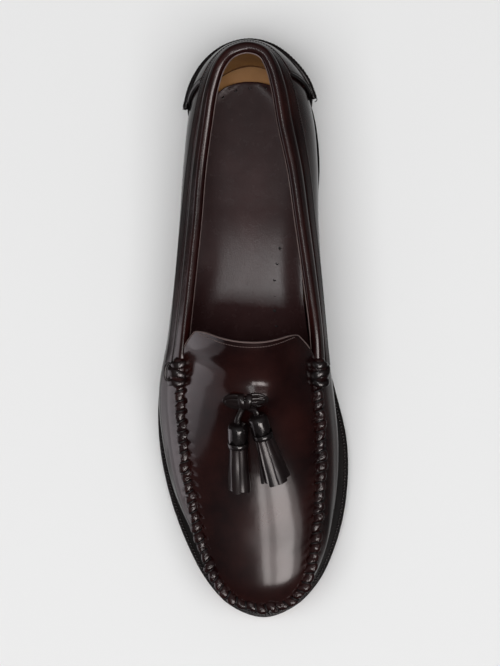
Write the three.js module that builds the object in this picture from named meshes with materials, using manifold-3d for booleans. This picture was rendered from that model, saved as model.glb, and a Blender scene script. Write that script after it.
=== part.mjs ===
// Tassel loafer, right shoe: sole, heel, hollow moc-toe upper, tongue, overlays, bow and tassels.
// Millimetres. +Y runs to the toe, +X to the lateral (outer) side, +Z up, ground at Z = 0.
// The origin is the centre of the heel's flat underside.

import * as THREE from 'three';
import { mergeVertices } from 'three/addons/utils/BufferGeometryUtils.js';
import Module from 'manifold-3d';

// Driving dimensions of the last and the sole
const shoeLength = 300;
const ballWidth = 101;
const heelWidth = 69;
const collarHeight = 90;
const seamHeight = 50;
const instepHeight = 100;
const heelHeight = 11;
const toeSpring = 7;

// Thicknesses
const outsoleThickness = 5;
const weltThickness = 5;
const weltRise = 1.2;
const insoleThickness = 7;
const topLiftThickness = 3.4;
const liftThickness = 2.8;
const leatherWall = 2;
const overlayThickness = 1.3;
const clearance = 0.3;
const overlaySeat = 0.45;

// Trim
const weltShow = 5.5;
const collarBandWidth = 13.5;
const ridgeWidth = 5.6;
const ridgeRise = 4.8;
const backSeamProud = 1.3;
const rollLength = 17;
const rollWidth = 10.5;
const rollDepth = 10;
const tasselHeadLength = 13.4;
const tasselHeadRadius = 4.9;
const fringeLength = 25;
const fringeStrips = 8;
const stripWidth = 4.2;
const stripThickness = 1.2;
const laceWidth = 3.2;
const laceThickness = 1.5;
const bowSpan = 24;
const bowDepth = 7.6;

// Mesh fineness
const samplesPerStation = 3;
const wallStepsOutside = 8;
const wallStepsInside = 5;
const apronSteps = 16;
const apronAcross = 12;
const plateAcross = 2;
const heelAcross = 4;
const roundSides = 10;

// Where the heel's share of the width and height gives way to the forepart's, of the length
const heelEnds = 0.2;
const ballStarts = 0.6;

// Stations run from the heel's back (first row) to the toe tip (last row), on both sides.
// along: of shoeLength. lateral, medial: of half the local width. show: welt beside the upper,
// of weltShow.
const soleLine = [
  { along: 0.013, lateral: -0.03, medial: -0.03, showLateral: 0.75, showMedial: 0.75 },
  { along: 0.019, lateral: 0.275, medial: -0.319, showLateral: 0.8, showMedial: 0.8 },
  { along: 0.037, lateral: 0.58, medial: -0.594, showLateral: 0.9, showMedial: 0.9 },
  { along: 0.069, lateral: 0.815, medial: -0.83, showLateral: 1.0, showMedial: 1.0 },
  { along: 0.121, lateral: 0.94, medial: -0.99, showLateral: 1.0, showMedial: 1.0 },
  { along: 0.207, lateral: 0.957, medial: -1.06, showLateral: 0.85, showMedial: 0.9 },
  { along: 0.307, lateral: 0.838, medial: -0.889, showLateral: 0.8, showMedial: 0.8 },
  { along: 0.407, lateral: 0.829, medial: -0.794, showLateral: 0.8, showMedial: 0.8 },
  { along: 0.507, lateral: 0.908, medial: -0.801, showLateral: 0.8, showMedial: 0.9 },
  { along: 0.6, lateral: 0.956, medial: -0.891, showLateral: 0.85, showMedial: 1.1 },
  { along: 0.693, lateral: 0.954, medial: -1.016, showLateral: 0.85, showMedial: 1.25 },
  { along: 0.787, lateral: 0.844, medial: -1.01, showLateral: 0.95, showMedial: 1.25 },
  { along: 0.87, lateral: 0.665, medial: -0.903, showLateral: 1.0, showMedial: 1.15 },
  { along: 0.937, lateral: 0.448, medial: -0.721, showLateral: 1.0, showMedial: 1.1 },
  { along: 0.98, lateral: 0.2, medial: -0.475, showLateral: 1.0, showMedial: 1.0 },
  { along: 1.0, lateral: -0.149, medial: -0.149, showLateral: 1.0, showMedial: 1.0 },
];

// The upper's widest line. up: of the local height.
const widestLine = [
  { along: 0.003, lateral: -0.03, medial: -0.03, upLateral: 0.633, upMedial: 0.633 },
  { along: 0.011, lateral: 0.29, medial: -0.333, upLateral: 0.622, upMedial: 0.622 },
  { along: 0.033, lateral: 0.555, medial: -0.594, upLateral: 0.6, upMedial: 0.6 },
  { along: 0.068, lateral: 0.755, medial: -0.82, upLateral: 0.567, upMedial: 0.567 },
  { along: 0.123, lateral: 0.885, medial: -0.951, upLateral: 0.533, upMedial: 0.533 },
  { along: 0.207, lateral: 0.971, medial: -1.023, upLateral: 0.467, upMedial: 0.48 },
  { along: 0.307, lateral: 0.936, medial: -0.951, upLateral: 0.479, upMedial: 0.49 },
  { along: 0.407, lateral: 0.911, medial: -0.902, upLateral: 0.519, upMedial: 0.53 },
  { along: 0.507, lateral: 0.908, medial: -0.868, upLateral: 0.556, upMedial: 0.556 },
  { along: 0.6, lateral: 0.927, medial: -0.875, upLateral: 0.6, upMedial: 0.6 },
  { along: 0.693, lateral: 0.881, medial: -0.919, upLateral: 0.56, upMedial: 0.56 },
  { along: 0.787, lateral: 0.752, medial: -0.891, upLateral: 0.54, upMedial: 0.54 },
  { along: 0.87, lateral: 0.525, medial: -0.806, upLateral: 0.54, upMedial: 0.54 },
  { along: 0.93, lateral: 0.297, medial: -0.663, upLateral: 0.54, upMedial: 0.54 },
  { along: 0.965, lateral: 0.119, medial: -0.485, upLateral: 0.54, upMedial: 0.54 },
  { along: 0.987, lateral: -0.178, medial: -0.178, upLateral: 0.54, upMedial: 0.54 },
];

// The wall's top: the topline as far as the throat, then the moc seam round the toe.
const topLine = [
  { along: 0.017, lateral: -0.03, medial: -0.03, upLateral: 1.0, upMedial: 1.0 },
  { along: 0.025, lateral: 0.203, medial: -0.246, upLateral: 1.0, upMedial: 1.0 },
  { along: 0.045, lateral: 0.362, medial: -0.357, upLateral: 0.972, upMedial: 0.989 },
  { along: 0.083, lateral: 0.481, medial: -0.449, upLateral: 0.933, upMedial: 0.961 },
  { along: 0.143, lateral: 0.574, medial: -0.536, upLateral: 0.867, upMedial: 0.922 },
  { along: 0.223, lateral: 0.658, medial: -0.667, upLateral: 0.821, upMedial: 0.882 },
  { along: 0.307, lateral: 0.66, medial: -0.701, upLateral: 0.848, upMedial: 0.916 },
  { along: 0.407, lateral: 0.675, medial: -0.736, upLateral: 0.912, upMedial: 0.973 },
  { along: 0.5, lateral: 0.688, medial: -0.753, upLateral: 0.99, upMedial: 1.03 },
  { along: 0.59, lateral: 0.695, medial: -0.719, upLateral: 1.04, upMedial: 1.07 },
  { along: 0.683, lateral: 0.673, medial: -0.747, upLateral: 0.97, upMedial: 0.98 },
  { along: 0.783, lateral: 0.594, medial: -0.733, upLateral: 0.88, upMedial: 0.9 },
  { along: 0.87, lateral: 0.475, medial: -0.683, upLateral: 0.82, upMedial: 0.84 },
  { along: 0.932, lateral: 0.327, medial: -0.6, upLateral: 0.786, upMedial: 0.8 },
  { along: 0.967, lateral: 0.109, medial: -0.428, upLateral: 0.76, upMedial: 0.76 },
  { along: 0.978, lateral: -0.168, medial: -0.168, upLateral: 0.76, upMedial: 0.76 },
];

const lastStation = soleLine.length - 1;
const ringStations = 2 * lastStation;

// The apron from the toe to the throat. station: its edge on the moc seam. crown: of shoeLength
// and of instepHeight.
const apronRows = [
  { station: 13, crownAlong: 0.978, crownUp: 0.38 },
  { station: 12.4, crownAlong: 0.946, crownUp: 0.436 },
  { station: 11.7, crownAlong: 0.893, crownUp: 0.48 },
  { station: 11, crownAlong: 0.82, crownUp: 0.523 },
  { station: 10.4, crownAlong: 0.747, crownUp: 0.585 },
  { station: 9.9, crownAlong: 0.687, crownUp: 0.668 },
  { station: 9.45, crownAlong: 0.637, crownUp: 0.755 },
  { station: 9, crownAlong: 0.592, crownUp: 0.842 },
  { station: 8.55, crownAlong: 0.562, crownUp: 0.9 },
];

// The tongue behind the throat. across: of half the ball width. edge, with its lateral and medial
// ear, and crown: of shoeLength and of instepHeight.
const tongueRows = [
  { lateral: 0.63, medial: -0.64, ear: [0.522, 0.526], edgeUp: 0.68, crownAlong: 0.541, crownUp: 0.95 },
  { lateral: 0.555, medial: -0.56, ear: [0.504, 0.509], edgeUp: 0.775, crownAlong: 0.528, crownUp: 0.98 },
  { lateral: 0.485, medial: -0.5, ear: [0.492, 0.499], edgeUp: 0.84, crownAlong: 0.516, crownUp: 1.0 },
];
const earRound = 0.045;
const earSquareness = 12;
const crownAcross = -0.03;
const crownFullness = 2.2;

// Heel breast: the station on each side where the heel's front face meets the sole's outline
const breastStation = { lateral: 5.33, medial: 5.8 };
const breastHollow = 2;
const heelEdgeInset = 0.8;
const heelSideTaper = 1.6;
const heelBackTuck = 4;

// The sole's underside, of shoeLength: seat, arch, flat tread and toe spring
const seatFront = 0.28;
const seatDrop = 0.22;
const treadStart = 0.59;
const treadEnd = 0.745;
const springPower = 1.6;
const heelRestAlong = 0.143;

const colours = {
  leather: 0x2b0c10,
  trim: 0x170709,
  sole: 0x17110f,
  tread: 0x7a3a22,
  sock: 0x3a1316,
};

function clamp01(value) {
  return Math.min(1, Math.max(0, value));
}

function localShare(along) {
  return clamp01((along - heelEnds) / (ballStarts - heelEnds));
}

function halfWidth(along) {
  return THREE.MathUtils.lerp(heelWidth, ballWidth, localShare(along)) / 2;
}

function localHeight(along) {
  return THREE.MathUtils.lerp(collarHeight, seamHeight, localShare(along));
}

// A closed curve through the rows of a table, up the lateral side and back down the medial one.
function ringCurve(rows, third) {
  const place = (row, side) => {
    const x = row[side] * halfWidth(row.along);
    return new THREE.Vector3(x, row.along * shoeLength, third(row, side));
  };
  const lateral = rows.map((row) => place(row, 'lateral'));
  const medial = rows.slice(1, -1).map((row) => place(row, 'medial')).reverse();
  return new THREE.CatmullRomCurve3([...lateral, ...medial], true, 'centripetal');
}

function sideHeight(row, side) {
  const share = side === 'lateral' ? row.upLateral : row.upMedial;
  return share * localHeight(row.along);
}

function sideShow(row, side) {
  return weltShow * (side === 'lateral' ? row.showLateral : row.showMedial);
}

const soleCurve = ringCurve(soleLine, sideShow);
const widestCurve = ringCurve(widestLine, sideHeight);
const topCurve = ringCurve(topLine, sideHeight);

function ringShare(station) {
  return THREE.MathUtils.euclideanModulo(station / ringStations, 1);
}

// Height of the outsole's underside
function underside(y) {
  const along = y / shoeLength;
  if (along < seatFront) {
    return heelHeight * (1 - seatDrop * Math.max(0, along) / seatFront);
  }
  if (along < treadStart) {
    const fall = THREE.MathUtils.smoothstep(along, seatFront, treadStart);
    return heelHeight * (1 - seatDrop) * (1 - fall);
  }
  if (along < treadEnd) {
    return 0;
  }
  return toeSpring * ((along - treadEnd) / (1 - treadEnd)) ** springPower;
}

// A point of the sole's outline, moved inwards by a width in plan
function soleInset(station, inset) {
  const share = ringShare(station);
  const point = soleCurve.getPoint(share);
  const tangent = soleCurve.getTangent(share);
  const inwards = new THREE.Vector2(-tangent.y, tangent.x).normalize();
  return new THREE.Vector3(point.x + inwards.x * inset, point.y + inwards.y * inset, 0);
}

function showAt(station) {
  return soleCurve.getPoint(ringShare(station)).z;
}

function footPoint(station) {
  const point = soleInset(station, showAt(station));
  point.z = underside(point.y) + outsoleThickness + weltThickness + weltRise + clearance;
  return point;
}

// The wall's outer face. rise goes from 0 at the welt to 1 at the topline or the moc seam.
function wallFace(station, rise) {
  const share = ringShare(station);
  const foot = footPoint(station);
  const widest = widestCurve.getPoint(share);
  const top = topCurve.getPoint(share);
  return new THREE.Vector3()
    .addScaledVector(foot, (1 - rise) * (1 - 2 * rise))
    .addScaledVector(widest, 4 * rise * (1 - rise))
    .addScaledVector(top, rise * (2 * rise - 1));
}

function faceNormal(face, u, v, stepU, stepV) {
  const alongU = face(u + stepU, v).sub(face(u - stepU, v));
  const alongV = face(u, v + stepV).sub(face(u, v - stepV));
  return alongU.cross(alongV).normalize();
}

const probe = 0.02;

function wallOffset(station, rise, offset) {
  const normal = faceNormal(wallFace, station, rise, probe, probe);
  return wallFace(station, rise).addScaledVector(normal, offset);
}

// The apron and tongue as one face. back goes from 0 at the toe to 1 at the tongue's edge,
// over from 0 at the lateral edge to 1 at the medial one.
const apronLateral = [];
const apronMedial = [];
const apronCrown = [];
for (const row of apronRows) {
  apronLateral.push(topCurve.getPoint(ringShare(row.station)));
  apronMedial.push(topCurve.getPoint(ringShare(ringStations - row.station)));
  const x = row.crownAlong > topLine[lastStation - 1].along
    ? topCurve.getPoint(ringShare(lastStation)).x
    : crownAcross * halfWidth(row.crownAlong)
      + (topCurve.getPoint(ringShare(row.station)).x
        + topCurve.getPoint(ringShare(ringStations - row.station)).x) / 2;
  apronCrown.push(new THREE.Vector3(x, row.crownAlong * shoeLength, row.crownUp * instepHeight));
}
for (const row of tongueRows) {
  const edgeZ = row.edgeUp * instepHeight;
  const [lateralY, medialY] = row.ear.map((along) => along * shoeLength);
  apronLateral.push(new THREE.Vector3(row.lateral * ballWidth / 2, lateralY, edgeZ));
  apronMedial.push(new THREE.Vector3(row.medial * ballWidth / 2, medialY, edgeZ));
  apronCrown.push(new THREE.Vector3(
    crownAcross * ballWidth / 2,
    row.crownAlong * shoeLength,
    row.crownUp * instepHeight,
  ));
}
const apronEdges = {
  lateral: new THREE.CatmullRomCurve3(apronLateral, false, 'centripetal'),
  medial: new THREE.CatmullRomCurve3(apronMedial, false, 'centripetal'),
  crown: new THREE.CatmullRomCurve3(apronCrown, false, 'centripetal'),
};

function apronFace(back, over) {
  const inside = clamp01(back);
  const lateral = apronEdges.lateral.getPoint(inside);
  const medial = apronEdges.medial.getPoint(inside);
  const crown = apronEdges.crown.getPoint(inside);
  const middle = lateral.clone().lerp(medial, 0.5);
  const swell = 1 - Math.abs(2 * over - 1) ** crownFullness;
  return lateral.lerp(medial, over).addScaledVector(crown.sub(middle), swell);
}

function apronNormal(back, over) {
  const safeBack = Math.min(1 - probe, Math.max(probe, back));
  const safeOver = Math.min(1 - probe, Math.max(probe, over));
  return faceNormal(apronFace, safeBack, safeOver, probe, probe).negate();
}

function apronOffset(back, over, offset) {
  return apronFace(back, over).addScaledVector(apronNormal(back, over), offset);
}

// Solids: rings of points joined by quads, closed on themselves or capped at both ends
function loft(rings, closed) {
  const size = rings[0].length;
  const positions = rings.flat().flatMap((point) => [point.x, point.y, point.z]);
  const index = [];
  const at = (ring, k) => (ring % rings.length) * size + (k % size);
  const quad = (a, b, c, d) => index.push(a, b, c, a, c, d);
  const spans = closed ? rings.length : rings.length - 1;
  for (let i = 0; i < spans; i += 1) {
    for (let k = 0; k < size; k += 1) {
      quad(at(i, k), at(i, k + 1), at(i + 1, k + 1), at(i + 1, k));
    }
  }
  if (!closed) {
    const last = rings.length - 1;
    for (let k = 0; k < size / 2 - 1; k += 1) {
      const mirror = size - 1 - k;
      quad(at(0, k), at(0, mirror), at(0, mirror - 1), at(0, k + 1));
      quad(at(last, k), at(last, k + 1), at(last, mirror - 1), at(last, mirror));
    }
  }
  const geometry = new THREE.BufferGeometry();
  geometry.setAttribute('position', new THREE.Float32BufferAttribute(positions, 3));
  geometry.setIndex(index);
  return welded(geometry);
}

// One closed body: shared corners merged, flat slivers dropped, faces pointing out
const weldDistance = 1e-3;

function welded(source) {
  const bare = new THREE.BufferGeometry();
  bare.setAttribute('position', source.getAttribute('position').clone());
  if (source.index) {
    bare.setIndex(source.index.clone());
  }
  const merged = mergeVertices(bare, weldDistance);
  const position = merged.getAttribute('position');
  const corner = (k) => new THREE.Vector3().fromBufferAttribute(position, merged.index.getX(k));
  const kept = [];
  let volume = 0;
  for (let k = 0; k < merged.index.count; k += 3) {
    const ids = [0, 1, 2].map((j) => merged.index.getX(k + j));
    if (new Set(ids).size === 3) {
      kept.push(ids);
      volume += corner(k).dot(corner(k + 1).cross(corner(k + 2)));
    }
  }
  const outwards = volume > 0 ? kept : kept.map(([a, b, c]) => [a, c, b]);
  merged.setIndex(outwards.flat());
  return merged;
}

const wasm = await Module();
wasm.setup();

function toSolid(geometry) {
  const ready = welded(geometry);
  return new wasm.Manifold(new wasm.Mesh({
    numProp: 3,
    vertProperties: new Float32Array(ready.getAttribute('position').array),
    triVerts: new Uint32Array(ready.index.array),
  }));
}

function fromSolid(solid) {
  const mesh = solid.getMesh();
  const geometry = new THREE.BufferGeometry();
  const corners = new THREE.Float32BufferAttribute(mesh.vertProperties, mesh.numProp);
  geometry.setAttribute('position', corners);
  geometry.setIndex(Array.from(mesh.triVerts));
  return geometry;
}

function range(count, from = 0, to = 1) {
  return Array.from({ length: count + 1 }, (_, i) => from + (to - from) * (i / count));
}

const ringSteps = ringStations * samplesPerStation;
const ringSamples = range(ringSteps, 0, ringStations).slice(0, -1);
const halfSamples = range(ringSteps / 2, 0, lastStation);

// A plate over the sole's plan, as rows from the lateral edge to the medial one
function plate(insets, bottom, top) {
  const rows = halfSamples.map((station) => {
    const edge = (inset) => [
      soleInset(station, inset(station)),
      soleInset(ringStations - station, inset(ringStations - station)),
    ];
    const [upper, middle, lower] = insets.map(edge);
    const across = (pair, level) => range(plateAcross).map((over) => {
      const point = pair[0].clone().lerp(pair[1], over);
      point.z = level(point.y);
      return point;
    });
    const side = (point) => {
      const corner = point.clone();
      corner.z = THREE.MathUtils.lerp(bottom(point.y), top(point.y), sideBulgeShare);
      return corner;
    };
    return [
      ...across(upper, top),
      side(middle[1]),
      ...across(lower, bottom).reverse(),
      side(middle[0]),
    ];
  });
  return loftPlain(rows);
}

const sideBulgeShare = 0.3;

// Rows that end in a point at both ends need no caps
function loftPlain(rows) {
  const size = rows[0].length;
  const positions = rows.flat().flatMap((point) => [point.x, point.y, point.z]);
  const index = [];
  for (let i = 0; i < rows.length - 1; i += 1) {
    for (let k = 0; k < size; k += 1) {
      const next = (k + 1) % size;
      const a = i * size + k;
      const b = i * size + next;
      index.push(a, b, b + size, a, b + size, a + size);
    }
  }
  const geometry = new THREE.BufferGeometry();
  geometry.setAttribute('position', new THREE.Float32BufferAttribute(positions, 3));
  geometry.setIndex(index);
  return welded(geometry);
}

function outsole() {
  const edgeRound = 0.7;
  const insets = [() => 0.2, () => 0, () => edgeRound];
  return plate(insets, underside, (y) => underside(y) + outsoleThickness);
}

function insole() {
  const rim = (station) => showAt(station) + leatherWall + 2 * clearance;
  const floor = (y) => underside(y) + outsoleThickness + clearance;
  return plate([rim, rim, rim], floor, (y) => floor(y) + insoleThickness);
}

function welt() {
  const base = outsoleThickness + clearance;
  const level = (point, height) => point.setZ(underside(point.y) + height);
  const rings = ringSamples.map((station) => {
    const show = showAt(station);
    const inner = show + leatherWall + clearance;
    return [
      level(soleInset(station, 0.2), base),
      level(soleInset(station, 0), base + weltThickness * 0.5),
      level(soleInset(station, 0.5), base + weltThickness - clearance),
      level(soleInset(station, show - 1), base + weltThickness + weltRise - 3 * clearance),
      level(soleInset(station, inner), base + weltThickness + weltRise - 3 * clearance),
      level(soleInset(station, inner), base),
    ];
  });
  return loft(rings, true);
}

// One layer of the heel, between two heights that may slope
function heelLayer(bottom, top) {
  const steps = 16;
  const inset = (station, height) => {
    const backness = clamp01(1 - Math.abs(station) / 3) ** 2;
    const lean = 1 - height / heelHeight;
    return heelEdgeInset + lean * (heelSideTaper + heelBackTuck * backness);
  };
  const edge = (station, level) => {
    const guess = soleInset(station, heelEdgeInset);
    const height = level(guess.y);
    return soleInset(station, inset(station > lastStation ? station - ringStations : station, height));
  };
  const rows = range(steps).map((share) => {
    const lateral = breastStation.lateral * share;
    const medial = ringStations - breastStation.medial * share;
    const across = (level) => range(heelAcross).map((over) => {
      const point = edge(lateral, level).lerp(edge(medial, level), over);
      point.y -= breastHollow * share ** 8 * (1 - (2 * over - 1) ** 2);
      point.z = level(point.y);
      return point;
    });
    return [...across(top), ...across(bottom).reverse()];
  });
  return loft(rows, false);
}

// The upper's closed wall, between an outer and an inner offset of its face
function wallBand(outer, inner, margin = 0) {
  const top = 1 + margin;
  const rings = ringSamples.map((station) => [
    ...range(wallStepsOutside, 0, top).map((rise) => wallOffset(station, rise, outer)),
    ...range(wallStepsInside, top, 0).map((rise) => wallOffset(station, rise, inner)),
  ]);
  return loft(rings, true);
}

// The tongue's ears are rounded: there the rows end short of the corner.
function earTrim(back, over) {
  return back - earRound * back ** earSquareness * Math.abs(2 * over - 1) ** earSquareness;
}

function apronPatch(outer, inner, margin = 0) {
  const point = (back, over, offset) => apronOffset(earTrim(back, over), over, offset);
  const rows = range(apronSteps).map((back) => [
    ...range(apronAcross, -margin, 1 + margin).map((over) => point(back, over, outer)),
    ...range(apronAcross, 1 + margin, -margin).map((over) => point(back, over, inner)),
  ]);
  return loft(rows, false);
}

// The raised moc seam, from beefroll to beefroll round the toe
const ridgeStart = 8.9;
const ridgeLead = 0.1;

function mocRidge(growth) {
  const sides = 8;
  const steps = Math.round((ringStations - 2 * ridgeStart) * samplesPerStation);
  const rings = range(steps, ridgeStart - growth * ridgeLead, ringStations - ridgeStart + growth * ridgeLead).map((station) => {
    const share = ringShare(station);
    const centre = topCurve.getPoint(share);
    const tangent = topCurve.getTangent(share);
    const sideways = new THREE.Vector3(tangent.y, -tangent.x, 0).normalize();
    return range(sides).slice(0, -1).map((turn) => {
      const angle = (turn + 0.5 / sides) * 2 * Math.PI;
      return centre.clone()
        .addScaledVector(sideways, Math.cos(angle) * (ridgeWidth / 2 + growth))
        .add(new THREE.Vector3(0, 0, Math.sin(angle) * (ridgeRise / 2 + growth) + ridgeRise * 0.1));
    });
  });
  return loft(rings, false);
}

function bandRise(station) {
  const height = wallFace(station, 1).distanceTo(wallFace(station, 0.5))
    + wallFace(station, 0.5).distanceTo(wallFace(station, 0));
  return 1 - collarBandWidth / height;
}

const bandEnd = 8.55;

function collarBand(outer, inner, margin = 0) {
  const end = bandEnd + margin;
  const steps = Math.round(2 * bandEnd * samplesPerStation);
  const rows = range(steps, -end, end).map((station) => {
    const rises = range(2, bandRise(station) - margin, 1 + margin);
    return [
      ...rises.map((rise) => wallOffset(station, rise, outer)),
      ...rises.reverse().map((rise) => wallOffset(station, rise, inner)),
    ];
  });
  return loft(rows, false);
}

// Levels of the counter. rise: of the wall as far as the collar band. proud: of backSeamProud,
// the raised hand-sewn seam.
const counterLevels = [
  { rise: 0.01, proud: 0 },
  { rise: 0.15, proud: 0 },
  { rise: 0.31, proud: 0 },
  { rise: 0.46, proud: 0 },
  { rise: 0.478, proud: 0.85 },
  { rise: 0.51, proud: 1 },
  { rise: 0.542, proud: 0.85 },
  { rise: 0.56, proud: 0 },
  { rise: 0.7, proud: 0 },
  { rise: 0.85, proud: 0 },
  { rise: 1, proud: 0 },
];
const counterHalf = { lateral: 2.9, medial: 2.6 };
const counterFlare = 1.4;
const counterGap = 0.6;
const seamFall = 0.11;

function counter() {
  const columns = 18;
  const rows = range(columns, -1, 1).map((side) => {
    const half = side > 0 ? counterHalf.lateral : counterHalf.medial;
    const point = (level, outer) => {
      const fall = seamFall * side ** 2 * THREE.MathUtils.smoothstep(level.rise, 0, 0.4)
        * (1 - THREE.MathUtils.smoothstep(level.rise, 0.6, 1));
      const share = level.rise - fall;
      const station = side * (half + counterFlare * (1 - share));
      const top = bandRise(station) - counterGap / collarHeight;
      const offset = outer
        ? overlaySeat + overlayThickness + level.proud * backSeamProud
        : overlaySeat;
      return wallOffset(station, share * top, offset);
    };
    return [
      ...counterLevels.map((level) => point(level, true)),
      ...counterLevels.map((level) => point(level, false)).reverse(),
    ];
  });
  return loft(rows, false);
}

// A thread-wrapped roll on the end of the moc seam, cut to the upper that it sits on
const rollStation = 8.76;
const rollWraps = 4;

function beefroll(side, seat) {
  const station = side === 'lateral' ? rollStation : ringStations - rollStation;
  const share = ringShare(station);
  const profile = [new THREE.Vector2(0, -rollLength / 2)];
  const wrap = rollLength / rollWraps;
  for (let k = 0; k < rollWraps; k += 1) {
    const start = -rollLength / 2 + k * wrap;
    profile.push(new THREE.Vector2(0.84, start + wrap * 0.05));
    profile.push(new THREE.Vector2(1, start + wrap * 0.5));
    profile.push(new THREE.Vector2(0.84, start + wrap * 0.95));
  }
  profile.push(new THREE.Vector2(0, rollLength / 2));
  const roll = new THREE.LatheGeometry(profile, roundSides);
  roll.scale(rollWidth / 2, 1, rollDepth / 2);
  const tangent = topCurve.getTangent(share);
  if (side === 'medial') {
    tangent.negate();
  }
  roll.applyQuaternion(new THREE.Quaternion().setFromUnitVectors(
    new THREE.Vector3(0, 1, 0),
    tangent,
  ));
  const centre = topCurve.getPoint(share);
  const outwards = side === 'lateral' ? 1 : -1;
  roll.translate(centre.x + outwards * 1.2, centre.y, centre.z + 1);
  return largestPiece(toSolid(roll).subtract(seat));
}

function largestPiece(solid) {
  const pieces = solid.decompose();
  pieces.sort((a, b) => b.volume() - a.volume());
  return fromSolid(pieces[0]);
}

// Where the tassels hang: back and over on the apron for the head's top and the fringe's tip,
// how far the fringe spreads, and the axis's lift off the vamp beyond the radius
const tassels = {
  lateral: { head: [0.53, 0.415], tip: [0.33, 0.395], flare: 1.12, lift: 0.05 },
  medial: { head: [0.56, 0.54], tip: [0.36, 0.65], flare: 1.35, lift: 0.4 },
};
const bowPlace = [0.598, 0.468];

// A tassel: a round head with a band, and a fringe of flat strips round a core
function tassel({ head, tip, flare, lift }) {
  const band = 1.06;
  const profile = [
    [0, 0], [0.55, 0], [0.86, 0.05], [0.95, 0.12], [0.97, 0.74], [band, 0.76],
    [band, 0.97], [0.76, 1], [0.76, 2.6], [0, 2.75],
  ].map(([r, z]) => new THREE.Vector2(r * tasselHeadRadius, z * tasselHeadLength));
  let solid = toSolid(new THREE.LatheGeometry(profile, roundSides));
  const stripRadius = tasselHeadRadius - stripThickness * 0.6;
  for (let k = 0; k < fringeStrips; k += 1) {
    const strip = new THREE.BoxGeometry(stripWidth, fringeLength, stripThickness, 1, 2, 1);
    const bend = strip.getAttribute('position');
    for (let i = 0; i < bend.count; i += 1) {
      const down = (bend.getY(i) + fringeLength / 2) / fringeLength;
      bend.setZ(i, bend.getZ(i) + down * (flare - 1) * 2.2 * stripRadius);
      bend.setX(i, bend.getX(i) * (0.8 + 0.2 * down));
    }
    strip.translate(0, tasselHeadLength * 0.94 + fringeLength / 2, stripRadius);
    strip.rotateY((k / fringeStrips) * 2 * Math.PI);
    solid = solid.add(toSolid(strip));
  }
  const start = apronOffset(head[0], head[1], tasselHeadRadius * band + lift);
  const endRadius = stripRadius + (flare - 1) * 2.2 * stripRadius + stripThickness / 2;
  const end = apronOffset(tip[0], tip[1], endRadius + lift);
  const axis = end.clone().sub(start).normalize();
  const up = apronNormal(head[0], head[1]);
  const sideways = axis.clone().cross(up).normalize();
  const frame = new THREE.Matrix4().makeBasis(sideways, axis, sideways.clone().cross(axis));
  frame.setPosition(start);
  const geometry = fromSolid(solid);
  geometry.applyMatrix4(frame);
  return { geometry, start, axis };
}

// A flat lace along a path, standing on its edge over the vamp
function lace(points, up, width, thickness) {
  const curve = new THREE.CatmullRomCurve3(points, false, 'centripetal');
  const steps = 2 * (points.length - 1);
  const rings = range(steps).map((share) => {
    const centre = curve.getPoint(share);
    const tangent = curve.getTangent(share);
    const across = tangent.clone().cross(up).normalize();
    const tall = across.clone().cross(tangent).normalize();
    const corners = [[-1, -1], [1, -1], [1, 1], [-1, 1]];
    return corners.map(([a, b]) => centre.clone()
      .addScaledVector(across, a * thickness / 2)
      .addScaledVector(tall, b * width / 2));
  });
  return loft(rings, false);
}

function bow(hung) {
  const up = apronNormal(bowPlace[0], bowPlace[1]);
  const base = apronOffset(bowPlace[0], bowPlace[1], laceWidth / 2 + 3 * clearance);
  const right = new THREE.Vector3(1, 0, 0);
  const down = right.clone().cross(up).normalize().negate();
  const at = (x, y, z) => base.clone()
    .addScaledVector(right, x)
    .addScaledVector(down, y)
    .addScaledVector(up, z);
  const half = bowSpan / 2;
  const deep = bowDepth / 2;
  let solid = null;
  for (const side of [-1, 1]) {
    const loop = [
      at(0, -0.4 * deep, 0.4), at(side * half * 0.4, -0.95 * deep, 0.2),
      at(side * half * 0.82, -0.55 * deep, -0.6), at(side * half * 0.95, 0, -0.9),
      at(side * half * 0.8, 0.5 * deep, -0.6), at(side * half * 0.4, 0.85 * deep, 0.2),
      at(0, 0.4 * deep, 0.4),
    ];
    const ribbon = toSolid(lace(loop, up, laceWidth, laceThickness));
    solid = solid ? solid.add(ribbon) : ribbon;
  }
  const knot = new THREE.SphereGeometry(1, roundSides, 6);
  knot.scale(3.4, 3, deep * 1.15);
  const frame = new THREE.Matrix4().makeBasis(right, up, right.clone().cross(up));
  frame.setPosition(at(0, 0, 0.8));
  knot.applyMatrix4(frame);
  solid = solid.add(toSolid(knot));
  for (const { start, axis } of hung) {
    const end = start.clone().addScaledVector(axis, -clearance);
    const lead = start.clone().addScaledVector(axis, -2);
    const side = Math.sign(start.x - base.x);
    const thong = [at(side * 0.8, deep * 0.5, 0.2), at(side * 1.4, deep, 0.3), lead, end];
    solid = solid.add(toSolid(lace(thong, up, laceThickness, laceWidth * 0.8)));
  }
  return fromSolid(solid);
}

const loafer = new THREE.Group();
loafer.name = 'tassel_loafer';

function addPart(name, geometry, colour, roughness) {
  geometry.computeVertexNormals();
  const material = new THREE.MeshStandardMaterial({ color: colour, roughness, metalness: 0 });
  const mesh = new THREE.Mesh(geometry, material);
  mesh.name = name;
  mesh.position.set(0, -heelRestAlong * shoeLength, 0);
  loafer.add(mesh);
}

const liftTop = topLiftThickness + clearance + liftThickness;
addPart('outsole', outsole(), colours.tread, 0.5);
addPart('welt', welt(), colours.sole, 0.45);
addPart('insole', insole(), colours.sock, 0.5);
addPart('top_lift', heelLayer(() => 0, () => topLiftThickness), colours.sole, 0.5);
addPart('heel_lift_1', heelLayer(
  () => topLiftThickness + clearance,
  () => liftTop,
), colours.sole, 0.4);
addPart('heel_lift_2', heelLayer(
  () => liftTop + clearance,
  (y) => underside(y) - clearance,
), colours.sole, 0.4);

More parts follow.
